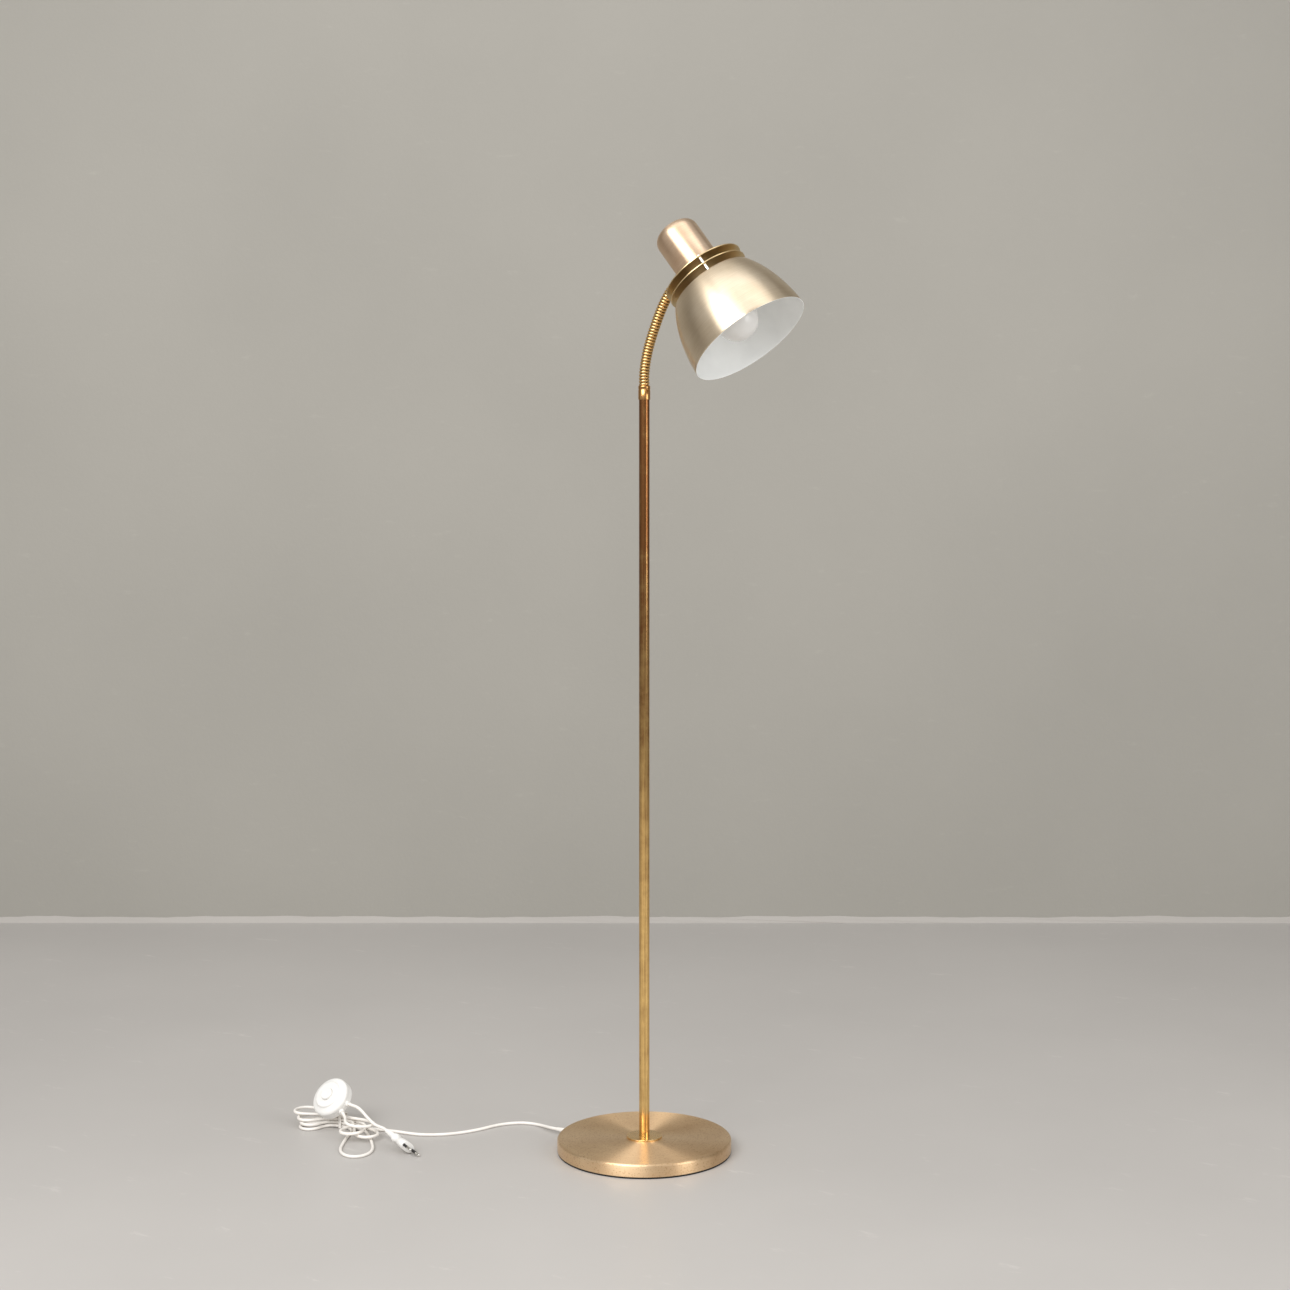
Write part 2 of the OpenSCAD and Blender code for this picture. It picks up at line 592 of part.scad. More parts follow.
// Ring j of the m rings of half a fold, as distance out and half width
function fold_ring(f, m, j) = let (neck = f[0] - run - f[2], n = m == 5 ? 3 : 4,
    u = m == 5 ? [0, 0, 0.5, 1] : [0, 0, min(20 / neck, 1 / 3), min(40 / neck, 2 / 3), 1])
  j == 0 ? [0, strand_gap]
  : j <= n ? [run + neck * u[j], strand_gap + (f[2] - strand_gap) * smooth(u[j])]
  : let (a = 90 * (j - n) / (m - n)) [run + neck + f[2] * sin(a), f[2] * cos(a)];
// The same point once the fold has turned aside
function bent(p, q, turn) = let (s = max(0, p - run), full = fold_r * abs(turn) * PI / 180,
    a = turn * min(1, s / full), r = sign(turn) * fold_r, e = max(0, s - full))
  [min(p, run) + (r - q) * sin(a) + e * cos(a), r - (r - q) * cos(a) + e * sin(a)];
// Parts 0 and 1 go out and back on the left, parts 2 and 3 on the right
function strand(k, part, j) = let (left = part < 2, m = left ? 5 : 7,
    f = left ? left_folds[k] : right_folds[k], back = part == 0 || part == 3,
    p = fold_ring(f, m, part % 2 == 0 ? j : m - j), near = min(1, p[0] / run),
    xy = bent(p[0], left == back ? -p[1] : p[1], f[1]),
    climb = part == 0 && k > 0 ? (near - 1) / 2 : part == 3 ? (1 - near) / 2 : 0)
  [(left ? -1 : 1) * xy[0], (left ? -1 : 1) * xy[1],
    hank_low + layer * (k + climb) - (k == 0 ? (hank_low - lie) * smooth((p[0] - run) / 20) : 0)];
function laid(p) = [hank_pos[0] + p[0] * cos(hank_turn) - p[1] * sin(hank_turn),
  hank_pos[1] + p[0] * sin(hank_turn) + p[1] * cos(hank_turn), p[2]];

hank_top = hank_low + layer * (hank_layers - 1);
hank_entry = [[62, strand_gap + 12, lie], [48, strand_gap + 9.5, lie],
  [34, strand_gap + 7, (lie + hank_low) / 2], [20, strand_gap + 5.6, hank_low],
  [0, strand_gap + entry_gap, hank_low]];
hank_path = [for (p = concat(hank_entry,
  [for (k = [0:hank_layers - 1]) for (part = [0:k < hank_layers - 1 ? 3 : 1])
    for (j = [k == 0 && part == 0 ? 2 : 0:part < 2 ? 4 : 6]) strand(k, part, j)],
  [[0, -strand_gap, hank_top], [run, -strand_gap, hank_top]])) laid(p)];

// Least distance between two straight pieces, each given by its start and its way
function held(x) = max(0, min(1, x));
function apart(a, u, b, v) = let (w = a - b, den = (u * u) * (v * v) - (u * v) * (u * v),
    s0 = den > 0.001 ? held(((u * v) * (v * w) - (v * v) * (u * w)) / den) : 0,
    t = held(((u * v) * s0 + v * w) / (v * v)), s = held(((u * v) * t - u * w) / (u * u)))
  norm(w + s * u - t * v);
function least_gap(p, d) = min([for (i = [0:len(p) - 2]) for (j = [i + 3:1:len(p) - 2])
  apart(p[i], p[i + 1] - p[i], p[j], p[j + 1] - p[j])]) - d;
echo(hank_least_gap = least_gap(hank_path, cord_d));

// Foot switch, leaning on the hank with its button up
switch_pos = [-449, -148, 40];
switch_tilt = 50;
switch_turn = -97;
inlet_z = switch_base_h / 2 + 0.3;
inlet_r = cord_r + 1.7;
inlet_reach = switch_d / 2 + 4;
inlet_turns = [62, 88];
module on_switch() translate(switch_pos) rotate([0, switch_tilt, switch_turn]) children();
// A point or a way of the switch in the lamp's frame
function way_out(p) = [
  (p[0] * cos(switch_tilt) + p[2] * sin(switch_tilt)) * cos(switch_turn) - p[1] * sin(switch_turn),
  (p[0] * cos(switch_tilt) + p[2] * sin(switch_tilt)) * sin(switch_turn) + p[1] * cos(switch_turn),
  p[2] * cos(switch_tilt) - p[0] * sin(switch_tilt)];
function inlet_way(i) = way_out([cos(inlet_turns[i]), sin(inlet_turns[i]), 0]);
function inlet(i) = switch_pos + way_out([0, 0, inlet_z]) + inlet_reach * inlet_way(i);

// Plug, lying on its edge
plug_pos = [-277.3, -193.5, 10.9]; // centre of the plug's face
plug_roll = -38;
plug_pitch = 9;
plug_turn = -20.8;
relief_len = 26;
plug_way = [cos(plug_pitch) * cos(plug_turn), cos(plug_pitch) * sin(plug_turn), -sin(plug_pitch)];
plug_tail = plug_pos - (plug_len + relief_len) * plug_way;
module on_plug() translate(plug_pos) rotate([plug_roll, plug_pitch, plug_turn]) children();

stub = 9; // straight stretch at both ends of every lead
lead_points = [[-175, 11, 4.5], [-194, 15, lie], [-224, 7, lie], [-244, -16, lie],
  [-256, -49, lie], [-271, -78, lie], [-291, -100, lie], [-318, -116, lie], [-346, -121, lie]];
switch_points = [[-400, -147.5, 19], [-385, -155, 20], [-380, -169, 21.5], [-389, -179.5, 23.5]];
plug_points = [[-394, -160, 41], [-381, -163, 37], [-368, -166, 31.5], [-356, -168, 26.5]];
lead_start = [bush_x, 0, exit_z];
hank_way = unit(hank_path[1] - hank_path[0]);
hank_last = len(hank_path) - 1;
hank_end_way = unit(hank_path[hank_last] - hank_path[hank_last - 1]);

function led(a, way_a, points, b, way_b) = concat([a],
  curve(concat([a + stub * way_a], points, [b - stub * way_b]), 2), [b]);

module cord_lead() color("white")
  sweep(led(lead_start, [-1, 0, 0], lead_points, hank_path[0], hank_way), cord_r, 10);
module cord_hank() color("white") sweep(hank_path, cord_r, 6);
module cord_switch_lead() color("white")
  sweep(led(hank_path[hank_last], hank_end_way, switch_points, inlet(0), -inlet_way(0)), cord_r, 10);
module cord_plug_lead() color("white")
  sweep(led(inlet(1), inlet_way(1), plug_points, plug_tail, plug_way), cord_r, 10);

// Outline of the tie round the waist, r outside its inner face
tie_e = 1.8;
tie_in = [-strand_gap - cord_r - loose, hank_low - cord_r - loose];
tie_out = [strand_gap + entry_gap + cord_r + loose, hank_top + cord_r + loose];
function tie_line(r) = concat(
  arc([tie_out[0] - tie_e, tie_out[1] - tie_e], tie_e + r, 0, 90, 4),
  arc([tie_in[0] + tie_e, tie_out[1] - tie_e], tie_e + r, 90, 180, 4),
  arc([tie_in[0] + tie_e, tie_in[1] + tie_e], tie_e + r, 180, 270, 4),
  arc([tie_out[0] - tie_e, tie_in[1] + tie_e], tie_e + r, 270, 360, 4));
module cord_tie() color("whitesmoke") translate(laid([0, 0, 0])) rotate([90, 0, 90 + hank_turn])
  translate([0, 0, -tie_w / 2]) linear_extrude(tie_w) difference() {
    polygon(tie_line(tie_t));
    polygon(tie_line(0));
  }

// Foot switch

switch_r = switch_d / 2;
switch_h = switch_base_h + switch_cover_h;
button_r = button_d / 2;
flange_t = 1.5;
flange_z = switch_base_h + 5; // underside of the button's flange when it is up
guide_z = flange_z + flange_t + loose;
button_top = switch_h + button_travel - 0.5;
well_r = button_r - 2.5;
well_top = button_top - 4;
post_r = 20;
post_turns = [0, 180];
screw_head_t = 1.2;
module at_posts() for (a = post_turns) rotate(a) translate([post_r, 0, 0]) children();

module switch_base() color("white") on_switch() difference() {
  union() {
    rotate_extrude() polygon([[0, 0], [switch_r - 1, 0], [switch_r, 1], [switch_r, switch_base_h],
      [switch_r - switch_wall, switch_base_h], [switch_r - switch_wall, switch_wall],
      [3.4, switch_wall], [3.4, switch_base_h - 1], [0, switch_base_h - 1]]);
    for (a = inlet_turns) rotate(a) translate([switch_r - switch_wall, 0, inlet_z])
      rotate([0, 90, 0]) cylinder(h = inlet_reach - switch_r + switch_wall, r = inlet_r);
    at_posts() cylinder(h = switch_base_h, r = 3.5);
  }
  at_posts() {
    translate([0, 0, -cut]) cylinder(h = switch_base_h + 2 * cut, r = screw_r + fit);
    translate([0, 0, -cut]) cylinder(h = screw_head_t + 0.2 + cut, r = 2.7);
  }
}

// Dome over the base, outer line from the rim to the button's hole
dome = [[0, 0], [0.4, 0.35], [2.6, 0.7], [7.5, 0.92], [14, 1]];
module switch_cover() color("white") on_switch() difference() {
  union() {
    rotate_extrude() polygon(concat(
      [for (p = dome) [switch_r - p[0], switch_base_h + p[1] * switch_cover_h]],
      [[button_r + fit, switch_h], [button_r + fit, guide_z], [button_r + 1.8, guide_z]],
      [[button_r + 1.8, switch_h - switch_wall]],
      [for (i = [3:-1:1]) [switch_r - dome[i][0] - switch_wall,
        switch_base_h + dome[i][1] * switch_cover_h - switch_wall * (0.2 + 0.25 * i)]],
      [[switch_r - switch_wall, switch_base_h]]));
    at_posts() translate([0, 0, switch_base_h])
      cylinder(h = dome[3][1] * switch_cover_h - switch_wall + 0.6, r = 3.5);
  }
  at_posts() translate([0, 0, switch_base_h - cut]) cylinder(h = 6 + cut, r = screw_r);
}

module switch_button() color("white") on_switch() rotate_extrude() polygon(concat(
  [[well_r, flange_z], [button_r + 1.4, flange_z], [button_r + 1.4, flange_z + flange_t],
    [button_r, flange_z + flange_t]],
  arc([button_r - 1.5, button_top - 1.5], 1.5, 0, 80, 5),
  [[0, button_top + 0.4], [0, well_top], [well_r, well_top]]));

// Return spring round the base's post, short of the button by its travel
spring_turns = 5;
spring_wire = 0.9;
spring_r = 4.4;
spring_z0 = switch_wall + spring_wire / 2;
spring_z1 = well_top - button_travel - spring_wire / 2 - loose;
spring_path = [for (i = [0:8 * spring_turns])
  [spring_r * cos(45 * i), spring_r * sin(45 * i),
    spring_z0 + 0.1 + (spring_z1 - spring_z0 - 0.1) * i / (8 * spring_turns)]];
echo(spring_least_gap = least_gap(spring_path, spring_wire));
module switch_spring() color("silver") on_switch() sweep(spring_path, spring_wire / 2, 6);

module switch_contacts() color("goldenrod") on_switch() for (s = [-1, 1]) union() {
  translate([s * 12 - 3, -16, switch_wall]) cube([6, 7, 4]);
  translate([s * 12 - 2, -16, switch_wall + 4]) cube([4, 14, 0.5]);
  translate([s * 12, -12.5, switch_wall + 4.5]) cylinder(h = 1.2, r = 2);
}

module switch_screws() color("silver") on_switch() at_posts() union() {
  translate([0, 0, 0.2]) cylinder(h = switch_base_h + 5.5, r = screw_r);
  translate([0, 0, 0.2]) cylinder(h = screw_head_t, r = 2.6);
}

// Plug

sleeve_len = 10;
core_r = pin_d / 2 - 0.45;
grip = 13; // length of the plug's straight front
module oval(w, t, h) hull() for (s = [-1, 1])
  translate([0, s * (w - t) / 2, 0]) rotate([0, -90, 0]) cylinder(h = h, r = t / 2, $fn = 32);
module plug_body() color("white") on_plug() difference() {
  union() {
    hull() {
      oval(plug_w - 1.6, plug_t - 1.6, 0.8);
      translate([-0.8, 0, 0]) oval(plug_w, plug_t, grip);
      translate([-plug_len + 4, 0, 0]) oval(13, 10.5, 4);
    }
    translate([-plug_len, 0, 0]) rotate([0, -90, 0])
      cylinder(h = relief_len, r1 = 4.8, r2 = cord_r + 0.8);
  }
  for (s = [-1, 1]) translate([-12, s * pin_gap / 2, 0]) rotate([0, 90, 0])
    cylinder(h = 12 + cut, r = core_r);
}

module plug_pins() color("gold") on_plug() for (s = [-1, 1])
  translate([-12, s * pin_gap / 2, 0]) rotate([0, 90, 0]) rotate_extrude() polygon(concat(
    [[0, 0], [core_r, 0], [core_r, 12 + sleeve_len], [pin_d / 2, 12 + sleeve_len]],
    arc([pin_d / 2 - 1.5, 12 + pin_len - 1.5], 1.5, 0, 90, 6), [[0, 12 + pin_len]]));

module plug_sleeves() color("dimgray") on_plug() for (s = [-1, 1])
  translate([0, s * pin_gap / 2, 0]) rotate([0, 90, 0]) rotate_extrude()
    polygon([[core_r, 0], [pin_d / 2 - 0.05, 0], [pin_d / 2 - 0.05, sleeve_len], [core_r, sleeve_len]]);

base_cover();
base_weight();
base_pad();
stem_washer();
stem_nut();
stem_nipple();
stem_collar();
stem_foot_insert();
stem_tube();
stem_top_insert();
stem_lead();
cord_clamp();
clamp_screws();
cord_bush();
neck_ferrule();
neck_base();
neck_link_1();
neck_link_2();
neck_link_3();
neck_link_4();
neck_link_5();
neck_link_6();
neck_link_7();
neck_link_8();
neck_end();
neck_nut();
cap();
holder_bracket();
holder_nipple();
holder_nuts();
holder_wires();
holder_dome();
holder_skirt();
holder_ring();
holder_insert();
holder_screw_shell();
ring_upper();
ring_lower();
ring_spacers();
head_screws();
head_nuts();
shade();
bulb_globe();
bulb_cap();
cord_lead();
cord_hank();
cord_tie();
cord_switch_lead();
cord_plug_lead();
switch_base();
switch_cover();
switch_button();
switch_spring();
switch_contacts();
switch_screws();
plug_body();
plug_pins();
plug_sleeves();
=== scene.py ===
import json
import math

import bmesh
import bpy
from mathutils import Matrix, Vector

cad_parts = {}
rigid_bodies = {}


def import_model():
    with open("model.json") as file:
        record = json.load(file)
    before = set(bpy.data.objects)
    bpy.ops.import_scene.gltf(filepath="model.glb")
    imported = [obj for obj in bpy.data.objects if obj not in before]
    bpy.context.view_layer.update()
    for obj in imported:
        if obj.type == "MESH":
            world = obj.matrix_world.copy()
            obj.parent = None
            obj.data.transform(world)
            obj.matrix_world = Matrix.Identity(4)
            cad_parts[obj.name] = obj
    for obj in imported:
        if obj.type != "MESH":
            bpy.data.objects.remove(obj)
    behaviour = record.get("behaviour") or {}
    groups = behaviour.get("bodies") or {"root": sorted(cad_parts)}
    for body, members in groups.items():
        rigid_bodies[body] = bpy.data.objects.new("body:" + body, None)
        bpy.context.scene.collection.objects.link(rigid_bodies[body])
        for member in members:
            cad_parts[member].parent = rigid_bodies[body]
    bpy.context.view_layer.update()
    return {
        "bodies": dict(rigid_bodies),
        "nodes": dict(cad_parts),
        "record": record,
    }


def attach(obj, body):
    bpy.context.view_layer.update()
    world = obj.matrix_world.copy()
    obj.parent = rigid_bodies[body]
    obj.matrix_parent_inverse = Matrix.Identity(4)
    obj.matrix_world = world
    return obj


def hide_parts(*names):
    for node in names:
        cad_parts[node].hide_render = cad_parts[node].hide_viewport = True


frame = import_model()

# Floor lamp with a round base, a gooseneck and a bell shade. The lamp's sizes are in
# millimetres and become metres where a mesh is made; the room's are in metres.
scene = bpy.context.scene
scene.view_settings.view_transform = "Standard"
mm = 0.001
print("frame loaded:", len(frame["nodes"]), "nodes")


# Camera and room. Places here are (to the right, away from the camera, up) from the stem

room = {
    "turn": 31.72,  # how far round the lamp the camera stands
    "distance": 3.1066, "aside": 0.001, "eyeHeight": 1.0013, "lookDown": 2.973,
    "focal": 2193, "frameWidth": 1290,  # pixels of the photograph
    "shift": -0.06, "wallBehind": 1.543, "halfWidth": 20, "floorTone": (187, 183, 179),
    "wallTone": (161.5, 158, 150), "wallHeight": 4.5, "jointTone": (180, 175, 169),
    "jointSize": 0.014, "daylight": 0.56,
}
lamps = {
    "keyLamp": {"at": (-1.9, -2.3, 2.5), "aim": (0, 0, 0.7), "size": (1.7, 1.7), "power": 62},
    "fillLamp": {"at": (2.4, -1.6, 1.6), "aim": (0, 0, 0.9), "size": (1.2, 2.0), "power": 28},
    "topLamp": {"at": (0.1, -0.9, 3.2), "aim": (0, 0, 0.4), "size": (2.6, 1.8), "power": 19},
    "frontLamp": {"at": (-0.85, -3.3, 2.5), "aim": (0, 0, 0.4), "size": (1.9, 1.2), "power": 49},
}
toRight = Vector((math.cos(math.radians(room["turn"])), math.sin(math.radians(room["turn"])), 0))
toBack = Vector((-toRight.y, toRight.x, 0))


def inRoom(right, back, up):
    return toRight * right + toBack * back + Vector((0, 0, up))


def tone(red, green, blue):  # a colour as a picture editor shows it, made linear
    return tuple((c / 255 / 12.92) if c < 10.3 else ((c / 255 + 0.055) / 1.055) ** 2.4
                 for c in (red, green, blue)) + (1,)


def addNode(tree, kind, inputs=None, **settings):
    made = tree.nodes.new(kind)
    for key, value in settings.items():
        setattr(made, key, value)
    for key, value in (inputs or {}).items():
        if isinstance(value, bpy.types.NodeSocket):
            tree.links.new(value, made.inputs[key])
        else:
            made.inputs[key].default_value = value
    return made


def newFinish(name, **values):  # a material, its tree, its shader and the object's coordinates
    finish = bpy.data.materials.new(name)
    finish.use_nodes = True
    tree = finish.node_tree
    shader = tree.nodes["Principled BSDF"]
    for key, value in values.items():
        shader.inputs[key].default_value = value
    return finish, tree, shader, addNode(tree, "ShaderNodeTexCoord").outputs["Object"]


def stageFinish(name, colour, grain, bump, rough, marks=0.0, oneSided=True):
    # paint with slow clouds of tone, a fine relief and a few pale scuffs; a wall that is
    # one-sided doesn't hide the lamp from behind
    finish, tree, shader, place = newFinish(name, Roughness=rough)
    cloud = addNode(tree, "ShaderNodeTexNoise", {"Vector": place, "Scale": 1.3, "Detail": 6.0})
    fine = addNode(tree, "ShaderNodeTexNoise", {"Vector": place, "Scale": grain, "Detail": 3.0})
    span = addNode(tree, "ShaderNodeMapRange", {"Value": cloud.outputs["Fac"], "From Min": 0.3,
                                                "From Max": 0.7, "To Min": 0.955, "To Max": 1.045})
    drawn = addNode(tree, "ShaderNodeMapping", {"Vector": place, "Scale": (9, 26, 60)}).outputs[0]
    scuff = addNode(tree, "ShaderNodeTexNoise", {"Vector": drawn, "Scale": 1.0, "Detail": 7.0,
                                                 "Roughness": 0.7})
    scuffed = addNode(tree, "ShaderNodeMapRange", {"Value": scuff.outputs["Fac"], "From Min": 0.62,
                                                   "From Max": 0.8, "To Min": 0.0,
                                                   "To Max": marks}).outputs[0]
    total = addNode(tree, "ShaderNodeMath", {0: span.outputs[0], 1: scuffed},
                    operation="ADD").outputs[0]
    tinted = addNode(tree, "ShaderNodeVectorMath", {0: tone(*colour)[:3], 1: total},
                     operation="MULTIPLY")
    tree.links.new(tinted.outputs[0], shader.inputs["Base Color"])
    relief = addNode(tree, "ShaderNodeBump", {"Height": fine.outputs["Fac"], "Strength": bump,
                                              "Distance": 0.002})
    tree.links.new(relief.outputs[0], shader.inputs["Normal"])
    if oneSided:
        clear = addNode(tree, "ShaderNodeBsdfTransparent").outputs[0]
        behind = addNode(tree, "ShaderNodeNewGeometry").outputs["Backfacing"]
        shown = addNode(tree, "ShaderNodeMixShader", {0: behind, 1: shader.outputs[0],
                                                      2: clear}).outputs[0]
        tree.links.new(shown, tree.nodes["Material Output"].inputs["Surface"])
    return finish


def stagePlane(name, corners, finish):
    bm = bmesh.new()
    bm.faces.new([bm.verts.new(inRoom(*c)) for c in corners])
    mesh = bpy.data.meshes.new(name)
    bm.to_mesh(mesh)
    bm.free()
    mesh.materials.append(finish)
    plane = bpy.data.objects.new(name, mesh)
    scene.collection.objects.link(plane)


def ragged(x):  # an uneven edge, between -1 and 1
    return (0.5 * math.sin(11 * x + 1.3 * math.sin(5 * x)) + 0.3 * math.sin(37 * x + 2)
            + 0.2 * math.sin(83 * x + 2 * math.sin(19 * x)))


def makeRoom():
    back, side, high = room["wallBehind"], room["halfWidth"], room["wallHeight"]
    stagePlane("floor", [(-side, -side, 0), (side, -side, 0), (side, side, 0), (-side, side, 0)],
               stageFinish("paintedFloor", room["floorTone"], 60, 0.06, 0.4, 0.3, False))
    stagePlane("wall", [(-side, back, 0), (side, back, 0), (side, back, high), (-side, back, high)],
               stageFinish("paintedWall", room["wallTone"], 140, 0.14, 0.7, 0.12))
    size = room["jointSize"]
    steps = [-side] + [i * 0.02 for i in range(-100, 101)] + [side]
    foot = [(x, back - size * (1 + 0.12 * ragged(x + 7)), 0.0004) for x in steps]
    top = [(x, back - 0.001 - size * t, size * (1 - t)) for x in reversed(steps)
           for t in [0.14 * (1 + ragged(x))]]
    stagePlane("joint", foot + top, stageFinish("wallJoint", room["jointTone"], 30, 0.3, 0.6))
    lens = bpy.data.cameras.new("camera")
    lens.sensor_width = 36
    lens.lens = room["focal"] / room["frameWidth"] * lens.sensor_width
    lens.shift_y = room["shift"]
    eye = bpy.data.objects.new("camera", lens)
    eye.location = inRoom(room["aside"], -room["distance"], room["eyeHeight"])
    eye.rotation_euler = (math.radians(90 - room["lookDown"]), 0, math.radians(room["turn"]))
    scene.collection.objects.link(eye)
    scene.camera = eye
    for name, lamp in lamps.items():
        light = bpy.data.lights.new(name, "AREA")
        light.shape = "RECTANGLE"
        light.size, light.size_y = lamp["size"]
        light.energy = lamp["power"]
        holder = bpy.data.objects.new(name, light)
        holder.location = inRoom(*lamp["at"])
        way = inRoom(*lamp["aim"]) - holder.location
        holder.rotation_euler = way.to_track_quat("-Z", "Y").to_euler()
        holder.visible_camera = False
        scene.collection.objects.link(holder)
    world = bpy.data.worlds.new("room")
    scene.world = world
    world.use_nodes = True
    world.node_tree.nodes["Background"].inputs["Color"].default_value = (1, 1, 1, 1)
    world.node_tree.nodes["Background"].inputs["Strength"].default_value = room["daylight"]
    print("room, camera and lamps made")


makeRoom()


# Cord: from the base through the tied hank to the foot switch, and on to the plug

cord = {
    "width": 4.5, "exit": (-150.5, 0, 7), "lie": 2.35, "stub": 9,
    "hankAt": (-438, -146), "hankTurn": 4, "gap": 2.7, "layer": 5.1, "low": 3.45, "run": 14,
    "foldRadius": 30, "entryGap": 4.9,
    # each fold's reach, turn and half width
    "leftFolds": ((66.5, 80, 15.7), (65, 56, 16), (68.5, 30, 15.7), (80, 4, 16.5)),
    "rightFolds": ((154, -57, 23), (88.5, -34, 15.7), (86.5, -88, 15.7)), "tipStretch": 1.6,
    "leadPoints": ((-166, 2.8, 6), (-176, 7.8, 4.6), (-186, 12.2, 3.2), (-198, 14.6, 2.35),
                   (-211, 13, 2.35), (-224, 7.5, 2.35), (-244, -16, 2.35), (-256, -49, 2.35),
                   (-271, -78, 2.35), (-291, -100, 2.35), (-318, -116, 2.35), (-346, -121, 2.35)),
    "switchPoints": ((-398, -146, 19), (-380, -149, 19.8), (-367, -160, 20.8), (-367, -176, 22),
                     (-379, -188, 23.6), (-392, -190.5, 25.5)),
    "plugPoints": ((-394, -160, 40.3), (-381, -163, 34.2), (-368, -166, 27.8),
                   (-356, -168.5, 23.8)),
}
switch = {
    "at": (-449, -148, 40), "tilt": 50, "turn": -97, "width": 60, "baseHeight": 9,
    "coverHeight": 12.5, "buttonWidth": 18, "travel": 3,
    "inletTurns": (62, 88), "inletHeight": 4.8, "inletReach": 34,
}
plug = {
    "at": (-277.3, -193.5, 10.9), "roll": -38, "pitch": 9, "turn": -20.8,
    "length": 34, "reliefLength": 26, "tailRadius": 4.75, "grooves": 7, "groovePitch": 3.5,
    "narrowing": 0.24,  # of the tail from one groove to the next
}


def placed(at, roll, pitch, turn):  # the place of something turned about X, then Y, then Z
    turns = [Matrix.Rotation(math.radians(a), 4, axis)
             for a, axis in ((turn, "Z"), (pitch, "Y"), (roll, "X"))]
    return Matrix.Translation(Vector(at) * mm) @ turns[0] @ turns[1] @ turns[2]


switchPlace = placed(switch["at"], 0, switch["tilt"], switch["turn"])
plugPlace = placed(plug["at"], plug["roll"], plug["pitch"], plug["turn"])


def eased(x):  # a smooth step from 0 to 1
    t = min(1, max(0, x))
    return t * t * (3 - 2 * t)


def foldRing(fold, rings, j):  # ring j of half a fold, as distance out and half width
    reach, _, half = fold
    shown = reach > 100  # the long fold in front opens like a leaf, with a drawn-out tip
    tip = half * (cord["tipStretch"] if shown else 1)
    neck = reach - cord["run"] - tip
    steps = (0, 0, 0.5, 1)
    if rings != 5:
        steps = (0, 0, min(20 / neck, 1 / 3), min(40 / neck, 2 / 3), 1)
    last = len(steps) - 1
    if j == 0:
        return 0, cord["gap"]
    if j <= last:
        opened = math.sin(math.radians(90 * steps[j])) if shown else eased(steps[j])
        return cord["run"] + neck * steps[j], cord["gap"] + (half - cord["gap"]) * opened
    a = math.radians(90 * (j - last) / (rings - last))
    return cord["run"] + neck + tip * math.sin(a), half * math.cos(a)


def bent(out, side, turn):  # the same ring once the fold has turned aside
    past = max(0, out - cord["run"])
    full = cord["foldRadius"] * math.radians(abs(turn))
    a = math.radians(turn) * min(1, past / full)
    r = math.copysign(cord["foldRadius"], turn)
    rest = max(0, past - full)
    return (min(out, cord["run"]) + (r - side) * math.sin(a) + rest * math.cos(a),
            r - (r - side) * math.cos(a) + rest * math.sin(a))


def strandPoint(k, part, j):
    # ring j of layer k; parts 0 and 1 go out and back on the left, 2 and 3 on the right
    left, back = part < 2, part in (0, 3)
    rings = 5 if left else 7
    fold = cord["leftFolds" if left else "rightFolds"][k]
    out, half = foldRing(fold, rings, j if part % 2 == 0 else rings - j)
    x, y = bent(out, -half if left == back else half, fold[1])
    near = min(1, out / cord["run"])
    climb = (near - 1) / 2 if part == 0 and k else (1 - near) / 2 if part == 3 else 0
    drop = (cord["low"] - cord["lie"]) * eased((out - cord["run"]) / 20) if k == 0 else 0
    sign = -1 if left else 1
    return sign * x, sign * y, cord["low"] + cord["layer"] * (k + climb) - drop


def hankPoints():
    gap, low, lie = cord["gap"], cord["low"], cord["lie"]
    top = low + cord["layer"] * (len(cord["leftFolds"]) - 1)
    points = [(62, gap + 12, lie), (48, gap + 9.5, lie), (34, gap + 7, (lie + low) / 2),
              (20, gap + 5.6, low), (0, gap + cord["entryGap"], low)]
    for k in range(4):
        for part in range(4 if k < 3 else 2):
            for j in range(2 if k == 0 and part == 0 else 0, 5 if part < 2 else 7):
                points.append(strandPoint(k, part, j))
    points += [(0, -gap, top), (cord["run"], -gap, top)]
    a = math.radians(cord["hankTurn"])
    return [Vector((cord["hankAt"][0] + x * math.cos(a) - y * math.sin(a),
                    cord["hankAt"][1] + x * math.sin(a) + y * math.cos(a), z))
            for x, y, z in points]


def inlet(which):  # end of one of the switch's inlets and the way that it points
    a = math.radians(switch["inletTurns"][which])
    way = Vector((math.cos(a), math.sin(a), 0))
    end = switchPlace @ ((way * switch["inletReach"] + Vector((0, 0, switch["inletHeight"]))) * mm)
    return end / mm, switchPlace.to_3x3() @ way


